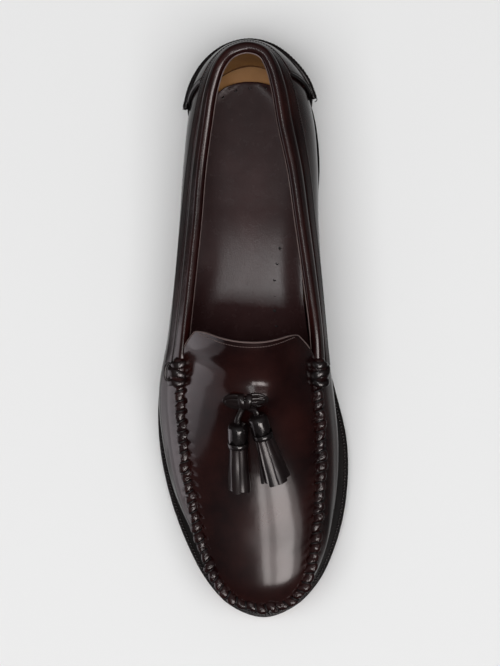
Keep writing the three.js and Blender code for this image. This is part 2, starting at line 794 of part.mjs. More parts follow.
const upperSolid = toSolid(wallBand(0, -leatherWall))
  .add(toSolid(apronPatch(0, -leatherWall)))
  .add(toSolid(mocRidge(0)));
addPart('upper', fromSolid(upperSolid), colours.leather, 0.15);

const overlayOuter = overlaySeat + overlayThickness;
addPart('collar_band', collarBand(overlayOuter, overlaySeat), colours.leather, 0.15);
addPart('counter', counter(), colours.leather, 0.15);

const deepInside = -7;
const seatMargin = 0.012;
const bandMargin = 0.04;
const rollSeat = toSolid(wallBand(clearance, deepInside, seatMargin))
  .add(toSolid(apronPatch(clearance, deepInside, seatMargin)))
  .add(toSolid(collarBand(overlayOuter + clearance, deepInside / 2, bandMargin)))
  .add(toSolid(mocRidge(clearance)));
addPart('beefroll_lateral', beefroll('lateral', rollSeat), colours.trim, 0.25);
addPart('beefroll_medial', beefroll('medial', rollSeat), colours.trim, 0.25);

const lateralTassel = tassel(tassels.lateral);
const medialTassel = tassel(tassels.medial);
addPart('tassel_bow', bow([lateralTassel, medialTassel]), colours.trim, 0.3);
addPart('tassel_lateral', lateralTassel.geometry, colours.trim, 0.3);
addPart('tassel_medial', medialTassel.geometry, colours.trim, 0.3);

export default loafer;
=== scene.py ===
"""The looks of a right tassel loafer in polished oxblood leather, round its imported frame.

Lengths are in millimetres until a mesh is made, which turns them into the frame's metres.
+Y runs to the toe, +X to the lateral side, +Z up, and the heel's rest is the origin.
"""
import math

import bmesh
import bpy
import numpy as np
from mathutils import Matrix, Vector


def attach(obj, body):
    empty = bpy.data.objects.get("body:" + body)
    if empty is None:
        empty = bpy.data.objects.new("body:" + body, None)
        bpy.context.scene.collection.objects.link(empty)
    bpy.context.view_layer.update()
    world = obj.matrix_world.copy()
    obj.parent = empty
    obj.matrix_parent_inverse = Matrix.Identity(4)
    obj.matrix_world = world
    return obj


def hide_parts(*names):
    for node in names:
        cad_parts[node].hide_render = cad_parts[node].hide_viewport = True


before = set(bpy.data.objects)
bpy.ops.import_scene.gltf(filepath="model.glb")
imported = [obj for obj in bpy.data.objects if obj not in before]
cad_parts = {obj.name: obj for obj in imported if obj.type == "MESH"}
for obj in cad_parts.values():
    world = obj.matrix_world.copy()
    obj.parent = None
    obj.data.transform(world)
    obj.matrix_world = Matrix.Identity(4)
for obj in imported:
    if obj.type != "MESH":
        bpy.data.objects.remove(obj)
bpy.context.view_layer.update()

MM = 0.001
BODY = "root"

# Sizes of the last and the sole, as in the solids
SHOE_LENGTH = 300.0
BALL_WIDTH = 101.0
HEEL_WIDTH = 69.0
COLLAR_HEIGHT = 90.0
SEAM_HEIGHT = 50.0
INSTEP_HEIGHT = 100.0
HEEL_HEIGHT = 11.0
TOE_SPRING = 7.0
OUTSOLE_THICKNESS = 5.0
WELT_THICKNESS = 5.0
WELT_RISE = 1.2
INSOLE_THICKNESS = 7.0
TOP_LIFT_THICKNESS = 3.4
LIFT_THICKNESS = 2.8
LEATHER_WALL = 2.0
OVERLAY_SEAT = 0.45
OVERLAY_THICKNESS = 1.3
CLEARANCE = 0.3
WELT_SHOW = 5.5
COLLAR_BAND_WIDTH = 13.5
RIDGE_WIDTH = 5.6
RIDGE_RISE = 4.8
HEEL_ENDS = 0.2
BALL_STARTS = 0.6
HEEL_REST_ALONG = 0.143

# Columns: along, of the shoe's length; lateral and medial, of half the local width; and two
# values, lateral and medial, for the welt's show or the height.
SOLE_LINE = [
    (0.013, -0.030, -0.030, 0.75, 0.75),
    (0.019, 0.275, -0.319, 0.80, 0.80),
    (0.037, 0.580, -0.594, 0.90, 0.90),
    (0.069, 0.815, -0.830, 1.00, 1.00),
    (0.121, 0.940, -0.990, 1.00, 1.00),
    (0.207, 0.957, -1.060, 0.85, 0.90),
    (0.307, 0.838, -0.889, 0.80, 0.80),
    (0.407, 0.829, -0.794, 0.80, 0.80),
    (0.507, 0.908, -0.801, 0.80, 0.90),
    (0.600, 0.956, -0.891, 0.85, 1.10),
    (0.693, 0.954, -1.016, 0.85, 1.25),
    (0.787, 0.844, -1.010, 0.95, 1.25),
    (0.870, 0.665, -0.903, 1.00, 1.15),
    (0.937, 0.448, -0.721, 1.00, 1.10),
    (0.980, 0.200, -0.475, 1.00, 1.00),
    (1.000, -0.149, -0.149, 1.00, 1.00),
]
WIDEST_LINE = [
    (0.003, -0.030, -0.030, 0.633, 0.633),
    (0.011, 0.290, -0.333, 0.622, 0.622),
    (0.033, 0.555, -0.594, 0.600, 0.600),
    (0.068, 0.755, -0.820, 0.567, 0.567),
    (0.123, 0.885, -0.951, 0.533, 0.533),
    (0.207, 0.971, -1.023, 0.467, 0.480),
    (0.307, 0.936, -0.951, 0.479, 0.490),
    (0.407, 0.911, -0.902, 0.519, 0.530),
    (0.507, 0.908, -0.868, 0.556, 0.556),
    (0.600, 0.927, -0.875, 0.600, 0.600),
    (0.693, 0.881, -0.919, 0.560, 0.560),
    (0.787, 0.752, -0.891, 0.540, 0.540),
    (0.870, 0.525, -0.806, 0.540, 0.540),
    (0.930, 0.297, -0.663, 0.540, 0.540),
    (0.965, 0.119, -0.485, 0.540, 0.540),
    (0.987, -0.178, -0.178, 0.540, 0.540),
]
TOP_LINE = [
    (0.017, -0.030, -0.030, 1.000, 1.000),
    (0.025, 0.203, -0.246, 1.000, 1.000),
    (0.045, 0.362, -0.357, 0.972, 0.989),
    (0.083, 0.481, -0.449, 0.933, 0.961),
    (0.143, 0.574, -0.536, 0.867, 0.922),
    (0.223, 0.658, -0.667, 0.821, 0.882),
    (0.307, 0.660, -0.701, 0.848, 0.916),
    (0.407, 0.675, -0.736, 0.912, 0.973),
    (0.500, 0.688, -0.753, 0.990, 1.030),
    (0.590, 0.695, -0.719, 1.040, 1.070),
    (0.683, 0.673, -0.747, 0.970, 0.980),
    (0.783, 0.594, -0.733, 0.880, 0.900),
    (0.870, 0.475, -0.683, 0.820, 0.840),
    (0.932, 0.327, -0.600, 0.786, 0.800),
    (0.967, 0.109, -0.428, 0.760, 0.760),
    (0.978, -0.168, -0.168, 0.760, 0.760),
]
LAST = len(SOLE_LINE) - 1
RING = 2 * LAST

# Columns: station of the apron's edge on the moc seam; crown, along and up
APRON_ROWS = [
    (13.0, 0.978, 0.380),
    (12.4, 0.946, 0.436),
    (11.7, 0.893, 0.480),
    (11.0, 0.820, 0.523),
    (10.4, 0.747, 0.585),
    (9.9, 0.687, 0.668),
    (9.45, 0.637, 0.755),
    (9.0, 0.592, 0.842),
    (8.55, 0.562, 0.900),
]
# Columns: edge across, lateral and medial; its along, lateral and medial; its up; the crown's
# along and up
TONGUE_ROWS = [
    (0.630, -0.640, 0.522, 0.526, 0.680, 0.541, 0.950),
    (0.555, -0.560, 0.504, 0.509, 0.775, 0.528, 0.980),
    (0.485, -0.500, 0.492, 0.499, 0.840, 0.516, 1.000),
]
EAR_ROUND = 0.045
EAR_SQUARENESS = 12
CROWN_ACROSS = -0.03
CROWN_FULLNESS = 2.2

SEAT_FRONT = 0.28
SEAT_DROP = 0.22
TREAD_START = 0.59
TREAD_END = 0.745
SPRING_POWER = 1.6


def smoothstep(value, low, high):
    share = np.clip((np.asarray(value, float) - low) / (high - low), 0.0, 1.0)
    return share * share * (3.0 - 2.0 * share)


def local_share(along):
    return np.clip((along - HEEL_ENDS) / (BALL_STARTS - HEEL_ENDS), 0.0, 1.0)


def half_width(along):
    return (HEEL_WIDTH + (BALL_WIDTH - HEEL_WIDTH) * local_share(along)) / 2


def local_height(along):
    return COLLAR_HEIGHT + (SEAM_HEIGHT - COLLAR_HEIGHT) * local_share(along)


class Path:
    """A centripetal curve through chosen points. A share of 0 to 1 runs along all of it."""

    def __init__(self, points, closed=False):
        self.points = np.asarray(points, float)
        self.closed = closed

    def __call__(self, share):
        count = len(self.points)
        spans = count if self.closed else count - 1
        share = np.asarray(share, float)
        place = (share % 1.0 if self.closed else np.clip(share, 0.0, 1.0)) * spans
        first = np.minimum(place.astype(int), spans - 1)
        local = (place - first)[..., None]
        if self.closed:
            corners = [self.points[(first + k) % count] for k in (-1, 0, 1, 2)]
        else:
            before = 2 * self.points[0] - self.points[1]
            after = 2 * self.points[-1] - self.points[-2]
            padded = np.vstack([before, self.points, after])
            corners = [padded[first + k] for k in range(4)]
        p0, p1, p2, p3 = corners
        steps = [np.linalg.norm(b - a, axis=-1, keepdims=True) ** 0.5
                 for a, b in ((p0, p1), (p1, p2), (p2, p3))]
        d0, d1, d2 = [np.maximum(step, 1e-4) for step in steps]
        t1 = ((p1 - p0) / d0 - (p2 - p0) / (d0 + d1) + (p2 - p1) / d1) * d1
        t2 = ((p2 - p1) / d1 - (p3 - p1) / (d1 + d2) + (p3 - p2) / d2) * d1
        c2 = -3 * p1 + 3 * p2 - 2 * t1 - t2
        c3 = 2 * p1 - 2 * p2 + t1 + t2
        return p1 + local * (t1 + local * (c2 + local * c3))

    def tangent(self, share, step=1e-3):
        ahead = self(np.asarray(share) + step) - self(np.asarray(share) - step)
        return unit(ahead)


def unit(vectors):
    length = np.linalg.norm(vectors, axis=-1, keepdims=True)
    return vectors / np.maximum(length, 1e-12)


def ring_path(rows, third):
    """A closed curve through a table's rows, up the lateral side and down the medial one."""
    def place(row, side):
        along = row[0]
        return (row[1 + side] * half_width(along), along * SHOE_LENGTH, third(row, side))
    lateral = [place(row, 0) for row in rows]
    medial = [place(row, 1) for row in rows[-2:0:-1]]
    return Path(lateral + medial, closed=True)


def show_of(row, side):
    return row[3 + side] * WELT_SHOW


def height_of(row, side):
    return row[3 + side] * local_height(row[0])


SOLE_PATH = ring_path(SOLE_LINE, show_of)
WIDEST_PATH = ring_path(WIDEST_LINE, height_of)
TOP_PATH = ring_path(TOP_LINE, height_of)


def underside(y):
    """Height of the outsole's underside at a distance from the sole's back."""
    along = np.asarray(y, float) / SHOE_LENGTH
    seat = HEEL_HEIGHT * (1 - SEAT_DROP * np.clip(along, 0, None) / SEAT_FRONT)
    arch = HEEL_HEIGHT * (1 - SEAT_DROP) * (1 - smoothstep(along, SEAT_FRONT, TREAD_START))
    lift = np.clip((along - TREAD_END) / (1 - TREAD_END), 0, None)
    toe = TOE_SPRING * lift ** SPRING_POWER
    return np.where(along < SEAT_FRONT, seat, np.where(along < TREAD_START, arch, toe))


def sole_inset(station, inset):
    """Plan points on the sole's outline, moved inwards by a width."""
    share = np.asarray(station, float) / RING
    point = SOLE_PATH(share)
    tangent = SOLE_PATH.tangent(share)
    inwards = unit(np.stack([-tangent[..., 1], tangent[..., 0]], -1))
    return point[..., :2] + inwards * np.asarray(inset, float)[..., None]


def with_height(plan, height):
    return np.concatenate([plan, height[..., None]], -1)


def show_at(station):
    return SOLE_PATH(np.asarray(station, float) / RING)[..., 2]


def foot_line(station):
    plan = sole_inset(station, show_at(station))
    lift = OUTSOLE_THICKNESS + WELT_THICKNESS + WELT_RISE + CLEARANCE
    return with_height(plan, underside(plan[..., 1]) + lift)


def wall(station, rise):
    """The wall's outer face. rise is 0 at the welt and 1 at the topline or moc seam."""
    station, rise = np.broadcast_arrays(np.asarray(station, float), np.asarray(rise, float))
    share = station / RING
    v = rise[..., None]
    return (foot_line(station) * (1 - v) * (1 - 2 * v)
            + WIDEST_PATH(share) * 4 * v * (1 - v)
            + TOP_PATH(share) * v * (2 * v - 1))


PROBE = 0.01


def face_normal(face, u, v):
    along_u = face(u + PROBE, v) - face(u - PROBE, v)
    along_v = face(u, v + PROBE) - face(u, v - PROBE)
    return unit(np.cross(along_u, along_v))


def wall_offset(station, rise, offset):
    station, rise = np.broadcast_arrays(np.asarray(station, float), np.asarray(rise, float))
    normal = face_normal(wall, station, rise)
    return wall(station, rise) + normal * np.asarray(offset, float)[..., None]


def apron_edges():
    """The apron's two edges and its crown, from the toe back to the tongue."""
    lateral, medial, crown = [], [], []
    for station, along, up in APRON_ROWS:
        left = TOP_PATH(station / RING)
        right = TOP_PATH(1 - station / RING)
        lateral.append(left)
        medial.append(right)
        if along > TOP_LINE[-2][0]:
            x = TOP_PATH(LAST / RING)[0]
        else:
            x = CROWN_ACROSS * half_width(along) + (left[0] + right[0]) / 2
        crown.append((x, along * SHOE_LENGTH, up * INSTEP_HEIGHT))
    half = BALL_WIDTH / 2
    for left, right, left_ear, right_ear, up, crown_along, crown_up in TONGUE_ROWS:
        lateral.append((left * half, left_ear * SHOE_LENGTH, up * INSTEP_HEIGHT))
        medial.append((right * half, right_ear * SHOE_LENGTH, up * INSTEP_HEIGHT))
        crown.append((CROWN_ACROSS * half, crown_along * SHOE_LENGTH, crown_up * INSTEP_HEIGHT))
    return Path(lateral), Path(medial), Path(crown)


APRON_LATERAL, APRON_MEDIAL, APRON_CROWN = apron_edges()


def apron(back, over):
    """The apron and tongue. back is 0 at the toe and 1 at the tongue's edge; over is 0 to 1."""
    back, over = np.broadcast_arrays(np.asarray(back, float), np.asarray(over, float))
    left = APRON_LATERAL(back)
    right = APRON_MEDIAL(back)
    crown = APRON_CROWN(back)
    swell = 1 - np.abs(2 * over - 1)[..., None] ** CROWN_FULLNESS
    chord = left + (right - left) * over[..., None]
    return chord + (crown - (left + right) / 2) * swell


def ear_trim(back, over):
    """Rounds the tongue's ears: there the rows end short of the corner."""
    corner = np.abs(2 * over - 1) ** EAR_SQUARENESS
    return back - EAR_ROUND * back ** EAR_SQUARENESS * corner


def apron_normal(back, over):
    low, high = 2 * PROBE, 1 - 2 * PROBE
    return -face_normal(apron, np.clip(back, low, high), np.clip(over, low, high))


def apron_offset(back, over, offset):
    back, over = np.broadcast_arrays(np.asarray(back, float), np.asarray(over, float))
    return apron(back, over) + apron_normal(back, over) * np.asarray(offset, float)[..., None]


# Meshes

def finish_piece(obj, replaces=(), sharp=None):
    """Rides a piece on the frame and hides the nodes that it stands for."""
    obj.data.polygons.foreach_set("use_smooth", [True] * len(obj.data.polygons))
    if sharp is not None:
        obj.data.set_sharp_from_angle(angle=math.radians(sharp))
    obj.data.update()
    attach(obj, BODY)
    if replaces:
        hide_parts(*replaces)
    return obj


def to_frame(points):
    moved = np.asarray(points, float).reshape(-1, 3).copy()
    moved[:, 1] -= HEEL_REST_ALONG * SHOE_LENGTH
    return moved * MM


def new_object(name, data):
    obj = bpy.data.objects.new(name, data)
    bpy.context.scene.collection.objects.link(obj)
    return obj


def mesh_object(name, points, faces, material):
    mesh = bpy.data.meshes.new(name)
    mesh.from_pydata(to_frame(points).tolist(), [], faces)
    mesh.materials.append(material)
    mesh.validate()
    return new_object(name, mesh)


def grid(first, second):
    return np.meshgrid(first, second, indexing="ij")


def loft_faces(rings, size, closed):
    spans = rings if closed else rings - 1
    i, k = grid(np.arange(spans), np.arange(size))
    a = i * size + k
    b = i * size + (k + 1) % size
    c = ((i + 1) % rings) * size + (k + 1) % size
    d = ((i + 1) % rings) * size + k
    faces = np.stack([a, b, c, d], -1).reshape(-1, 4).tolist()
    if not closed:
        last = (rings - 1) * size
        for k in range(size // 2 - 1):
            m = size - 1 - k
            faces.append([k, m, m - 1, k + 1])
            faces.append([last + k, last + k + 1, last + m - 1, last + m])
    return faces


def signed_volume(points, faces):
    points = np.asarray(points, float).reshape(-1, 3)
    total = 0.0
    quads = np.array([f for f in faces if len(f) == 4], int)
    for a, b, c in ((0, 1, 2), (0, 2, 3)):
        p, q, r = points[quads[:, a]], points[quads[:, b]], points[quads[:, c]]
        total += np.einsum("ij,ij->i", p, np.cross(q, r)).sum()
    return total


def loft(name, rings, material, closed=True):
    """A closed solid from rings of points (rings, size, 3), with its faces pointing out."""
    rings = np.asarray(rings, float)
    faces = loft_faces(rings.shape[0], rings.shape[1], closed)
    if signed_volume(rings, faces) < 0:
        faces = [face[::-1] for face in faces]
    obj = mesh_object(name, rings, faces, material)
    weld(obj)
    return obj


def weld(obj, distance=2e-6):
    edit = bmesh.new()
    edit.from_mesh(obj.data)
    bmesh.ops.remove_doubles(edit, verts=edit.verts, dist=distance)
    bmesh.ops.dissolve_degenerate(edit, edges=edit.edges, dist=distance / 4)
    edit.to_mesh(obj.data)
    edit.free()


def joined(name, objects):
    """Several objects as one, with their materials kept."""
    edit = bmesh.new()
    for obj in objects:
        edit.from_mesh(obj.data)
    mesh = bpy.data.meshes.new(name)
    edit.to_mesh(mesh)
    edit.free()
    mesh.materials.append(objects[0].data.materials[0])
    for obj in objects:
        bpy.data.objects.remove(obj)
    return new_object(name, mesh)


# Materials

class Value:
    """A number, colour or vector on its way between nodes. Sums on it add Math nodes."""

    def __init__(self, graph, socket):
        self.graph = graph
        self.socket = socket

    def __add__(self, other):
        return self.graph.math("ADD", self, other)

    __radd__ = __add__

    def __sub__(self, other):
        return self.graph.math("SUBTRACT", self, other)

    def __rsub__(self, other):
        return self.graph.math("SUBTRACT", other, self)

    def __mul__(self, other):
        return self.graph.math("MULTIPLY", self, other)

    __rmul__ = __mul__

    def __pow__(self, other):
        return self.graph.math("POWER", self, other)


class Graph:
    """A node tree in the making. One method adds any node."""

    def __init__(self, tree):
        self.tree = tree

    def node(self, kind, settings=None, inputs=None, output=0):
        node = self.tree.nodes.new(kind)
        for name, value in (settings or {}).items():
            if name == "stops":
                self.set_stops(node.color_ramp, value)
            else:
                setattr(node, name, value)
        for key, value in (inputs or {}).items():
            if isinstance(value, Value):
                self.tree.links.new(value.socket, node.inputs[key])
            else:
                node.inputs[key].default_value = value
        return Value(self, node.outputs[output])

    @staticmethod
    def set_stops(ramp, stops):
        while len(ramp.elements) < len(stops):
            ramp.elements.new(1.0)
        for element, (place, shade) in zip(ramp.elements, stops):
            element.position = place
            element.color = (shade, shade, shade, 1.0)

    def math(self, operation, *values):
        return self.node("ShaderNodeMath", {"operation": operation}, dict(enumerate(values)))


class Finish(Graph):
    """A material: colour, roughness and bump vary over the piece, the rest is set once."""

    def __init__(self, name):
        self.material = bpy.data.materials.new(name)
        self.material.use_nodes = True
        super().__init__(self.material.node_tree)
        self.shader = self.tree.nodes["Principled BSDF"]
        self.place = self.node("ShaderNodeTexCoord", output=3)

    def noise(self, size, detail=2.0, roughness=0.5, stretch=(1.0, 1.0, 1.0)):
        """Noise of 0 to 1 with features of a size in millimetres."""
        scaled = self.node("ShaderNodeVectorMath", {"operation": "MULTIPLY"},
                           {0: self.place, 1: stretch})
        inputs = {"Vector": scaled, "Scale": 1 / (size * MM), "Detail": detail,
                  "Roughness": roughness}
        return self.node("ShaderNodeTexNoise", {}, inputs)

    def cells(self, size):
        inputs = {"Vector": self.place, "Scale": 1 / (size * MM)}
        return self.node("ShaderNodeTexVoronoi", {}, inputs)

    def ramp(self, value, *stops):
        return self.node("ShaderNodeValToRGB", {"stops": stops}, {0: value})

    def mix(self, share, first, second):
        def socket(colour):
            return colour if isinstance(colour, Value) else (*colour, 1.0)
        return self.node("ShaderNodeMix", {"data_type": "RGBA"},
                         {0: share, 6: socket(first), 7: socket(second)}, output=2)

    def bump(self, height, depth, below=None):
        """Bump of a depth in millimetres, over another bump if there is one."""
        inputs = {"Height": height, "Distance": depth * MM, "Strength": 1.0}
        if below is not None:
            inputs["Normal"] = below
        return self.node("ShaderNodeBump", {}, inputs)

    def done(self, colour, roughness, normal=None, constants=None):
        """Links what varies, sets what is the same all over, and gives the material."""
        for key, value in {"Base Color": colour, "Roughness": roughness, "Normal": normal}.items():
            if isinstance(value, Value):
                self.tree.links.new(value.socket, self.shader.inputs[key])
            elif value is not None:
                self.shader.inputs[key].default_value = value
        for key, value in (constants or {}).items():
            self.shader.inputs[key].default_value = value
        return self.material


def polished_leather(name, deep, warm, gloss=0.16, fold=9.0, fold_depth=0.10, coat=0.5):
    """Calf with a high polish: mottled colour, fine grain, faint swells under the shine."""
    finish = Finish(name)
    mottle = finish.ramp(finish.noise(28, 4, 0.6), (0.35, 0.0), (0.7, 1.0))
    pores = finish.cells(0.55)
    grain = finish.noise(1.1, 3, 0.6)
    swell = finish.noise(fold, 2, 0.4)
    colour = finish.mix(mottle, deep, warm)
    roughness = gloss + 0.08 * finish.noise(14, 3)
    low = finish.bump(swell, fold_depth)
    middle = finish.bump(grain, 0.016, low)
    fine = finish.bump(pores, 0.010, middle)
    return finish.done(colour, roughness, fine,
                       {"Specular IOR Level": 0.2, "Coat Weight": coat, "Coat Roughness": 0.11,
                        "Coat IOR": 1.34})


def soft_leather(name, deep, pale, gloss, grain=1.0, shine=0.25, coat=0.0):
    """Unpolished or lightly polished leather: lining, sock and strips."""
    finish = Finish(name)
    mottle = finish.ramp(finish.noise(16, 4, 0.6), (0.3, 0.0), (0.75, 1.0))
    colour = finish.mix(mottle, deep, pale)
    roughness = gloss + 0.12 * finish.noise(5, 3)
    low = finish.bump(finish.noise(3.0 * grain, 3, 0.6), 0.03)
    fine = finish.bump(finish.cells(0.7 * grain), 0.02, low)
    return finish.done(colour, roughness, fine,
                       {"Specular IOR Level": shine, "Coat Weight": coat, "Coat Roughness": 0.12})


def waxed_thread(name, tone):
    """Waxed thread: a twist shows as fine ribs."""
    finish = Finish(name)
    ribs = finish.noise(0.5, 2, 0.5)
    colour = finish.mix(ribs, [0.4 * part for part in tone], tone)
    return finish.done(colour, 0.42, finish.bump(ribs, 0.05), {"Specular IOR Level": 0.25})


def sole_edge_finish(name, tone):
    """Inked and waxed edge: fine horizontal lines of pressed leather."""
    finish = Finish(name)
    layers = finish.noise(2.2, 4, 0.65, stretch=(0.08, 0.08, 4.0))
    specks = finish.noise(0.8, 2, 0.5)
    colour = finish.mix(layers, [0.5 * part for part in tone], tone)
    roughness = 0.26 + 0.2 * specks
    low = finish.bump(layers, 0.10)
    fine = finish.bump(specks, 0.03, low)
    return finish.done(colour, roughness, fine,
                       {"Specular IOR Level": 0.14, "Coat Weight": 0.1, "Coat Roughness": 0.2,
                        "Coat IOR": 1.35})


def sole_leather_finish(name, deep, pale):
    """Reddish-brown sole leather: long soft fibres and small scuffs from the floor."""
    finish = Finish(name)
    fibres = finish.noise(6, 4, 0.65, stretch=(1.0, 0.25, 1.0))
    specks = finish.noise(1.2, 4, 0.6)
    colour = finish.mix(fibres, deep, pale)
    fine = finish.bump(specks, 0.06)
    return finish.done(colour, 0.36 + 0.2 * specks, fine,
                       {"Coat Weight": 0.15, "Coat Roughness": 0.3})


def rubber_finish(name, tone):
    finish = Finish(name)
    specks = finish.noise(0.9, 3, 0.6)
    colour = finish.mix(specks, [0.7 * part for part in tone], tone)
    return finish.done(colour, 0.5 + 0.2 * specks, finish.bump(specks, 0.08))


def floor_finish(name, tone):
    finish = Finish(name)
    cloud = finish.noise(220, 3, 0.5)
    colour = finish.mix(cloud, [0.985 * part for part in tone], tone)
    return finish.done(colour, 0.75, finish.bump(finish.noise(4, 3), 0.02),
                       {"Specular IOR Level": 0.2})


OXBLOOD = polished_leather("oxblood calf", (0.0062, 0.0014, 0.0015), (0.0195, 0.0046, 0.0038))
PUCKERED = polished_leather("puckered oxblood calf", (0.006, 0.0016, 0.0018),
                            (0.016, 0.0042, 0.0038), gloss=0.13, fold=1.8, fold_depth=0.75,
                            coat=0.7)
CAP = polished_leather("tassel caps", (0.004, 0.0028, 0.003), (0.008, 0.0045, 0.0045), gloss=0.12,
                       fold_depth=0.02, coat=1.0)
# Near-black painted shade: the tassel's core shows in the cover's notches as the shade inside them.
CORE_PAINTED_SHADE = soft_leather("shadowed tassel core", (0.002, 0.0015, 0.0015), (0.003, 0.002, 0.002), 0.6,
                     shine=0.1)
TRIM = polished_leather("black trim leather", (0.004, 0.0026, 0.0028), (0.009, 0.0045, 0.0045),
                        gloss=0.18, fold=5.0, fold_depth=0.16, coat=0.7)
STRIPS = soft_leather("tassel strips", (0.005, 0.003, 0.0034), (0.012, 0.006, 0.006), 0.26, 0.6,
                      shine=0.3, coat=0.2)
THREAD = waxed_thread("black waxed thread", (0.008, 0.006, 0.0065))
LINING = soft_leather("burgundy lining", (0.014, 0.004, 0.0048), (0.026, 0.009, 0.009), 0.46)
HEEL_LINING = soft_leather("tan heel lining", (0.26, 0.125, 0.042), (0.38, 0.19, 0.068), 0.5)
# Pale pinkish grey: a painted highlight line along the topline's lip and the tongue's edge, and
# painted glints on the tongue's stitches.
PIPING_PAINTED_HIGHLIGHT = soft_leather("topline piping", (0.10, 0.066, 0.062), (0.16, 0.118, 0.110), 0.34, 0.6,
                      shine=0.3)
SOCK = soft_leather("burgundy sock", (0.022, 0.0085, 0.0085), (0.034, 0.0145, 0.0145), 0.20,
                    shine=0.2)
EDGE = sole_edge_finish("black waxed edge", (0.0075, 0.006, 0.0058))
TREAD = sole_leather_finish("sole leather", (0.17, 0.05, 0.024), (0.30, 0.10, 0.05))
RUBBER = rubber_finish("top lift rubber", (0.02, 0.018, 0.017))
FLOOR = floor_finish("pale floor", (0.80, 0.80, 0.80))


# Geometry Nodes: stitches, whip stitches and fringes

# Kinds of the patterns' inputs; the others are plain numbers
INPUT_KINDS = {"Count": "Int", "Strips": "Int", "Seed": "Int", "Material": "Material"}


class Pattern(Graph):
    """A Geometry Nodes tree with named inputs, and the pieces that it makes."""

    def __init__(self, name):
        super().__init__(bpy.data.node_groups.new(name, "GeometryNodeTree"))
        self.identifiers = {}
        self.given = self.tree.nodes.new("NodeGroupInput")
        self.result = self.tree.nodes.new("NodeGroupOutput")
        for way in ("INPUT", "OUTPUT"):
            self.tree.interface.new_socket("Geometry", in_out=way,
                                           socket_type="NodeSocketGeometry")

    def inputs(self, *names):
        """A named input for each name, in this order."""
        for name in names:
            kind = INPUT_KINDS.get(name, "Float")
            socket = self.tree.interface.new_socket(name, in_out="INPUT",
                                                    socket_type="NodeSocket" + kind)
            self.identifiers[name] = socket.identifier
        return [Value(self, self.given.outputs[name]) for name in names]

    def geometry(self):
        return Value(self, self.given.outputs["Geometry"])

    def vector(self, x=0.0, y=0.0, z=0.0):
        return self.node("ShaderNodeCombineXYZ", {}, {0: x, 1: y, 2: z})

    def finish(self, shape, material):
        smooth = self.node("GeometryNodeSetShadeSmooth", {}, {"Geometry": shape})
        real = self.node("GeometryNodeRealizeInstances", {}, {"Geometry": smooth})
        made = self.node("GeometryNodeSetMaterial", {}, {"Geometry": real, "Material": material})
        self.tree.links.new(made.socket, self.result.inputs["Geometry"])

    def make(self, name, source, material, **values):
        """The plain mesh that the tree makes of a source object, which is then removed."""
        modifier = source.modifiers.new("pattern", "NODES")
        modifier.node_group = self.tree
        modifier[self.identifiers["Material"]] = material
        for key, value in values.items():
            modifier[self.identifiers[key.replace("_", " ").capitalize()]] = value
        graph = bpy.context.evaluated_depsgraph_get()
        mesh = bpy.data.meshes.new_from_object(source.evaluated_get(graph))
        source.modifiers.remove(modifier)
        bpy.data.objects.remove(source)
        return new_object(name, mesh)


def along_path(pattern, count):
    """Evenly spaced points on the source path, turned to its direction and its up."""
    curve = pattern.node("GeometryNodeMeshToCurve", {}, {"Mesh": pattern.geometry()})
    spaced = pattern.node("GeometryNodeResampleCurve", {"mode": "COUNT"},
                          {"Curve": curve, "Count": count})
    up = pattern.node("GeometryNodeInputNamedAttribute", {"data_type": "FLOAT_VECTOR"},
                      {"Name": "up"})
    turn = pattern.node("FunctionNodeAxesToRotation",
                        {"primary_axis": "X", "secondary_axis": "Z"},
                        {"Primary Axis": pattern.node("GeometryNodeInputTangent"),
                         "Secondary Axis": up})
    return spaced, turn


def uneven(pattern, low, high, seed):
    return pattern.node("FunctionNodeRandomValue", {"data_type": "FLOAT"},
                        {"Min": low, "Max": high, "Seed": seed}, output=1)


def turned(pattern, rotation, angle):
    """A rotation turned about its own up by an angle."""
    twist = pattern.node("FunctionNodeEulerToRotation", {}, {0: pattern.vector(z=angle)})
    return pattern.node("FunctionNodeRotateRotation", {"rotation_space": "LOCAL"},
                        {0: rotation, 1: twist})


def stitch_pattern():
    """Rows of small flat stitches along a path."""
    pattern = Pattern("row of stitches")
    count, length, width, height, slant, material = pattern.inputs(
        "Count", "Length", "Width", "Height", "Slant", "Material")
    spaced, turn = along_path(pattern, count)
    thread = pattern.node("GeometryNodeMeshUVSphere", {},
                          {"Segments": 8, "Rings": 6, "Radius": 0.5})
    angle = slant + uneven(pattern, -0.06, 0.06, 3)
    size = pattern.vector(length * uneven(pattern, 0.93, 1.07, 5), width, height)
    placed = pattern.node("GeometryNodeInstanceOnPoints", {},
                          {"Points": spaced, "Instance": thread,
                           "Rotation": turned(pattern, turn, angle), "Scale": size})
    pattern.finish(placed, material)
    return pattern


WHIP_TUCK = 8


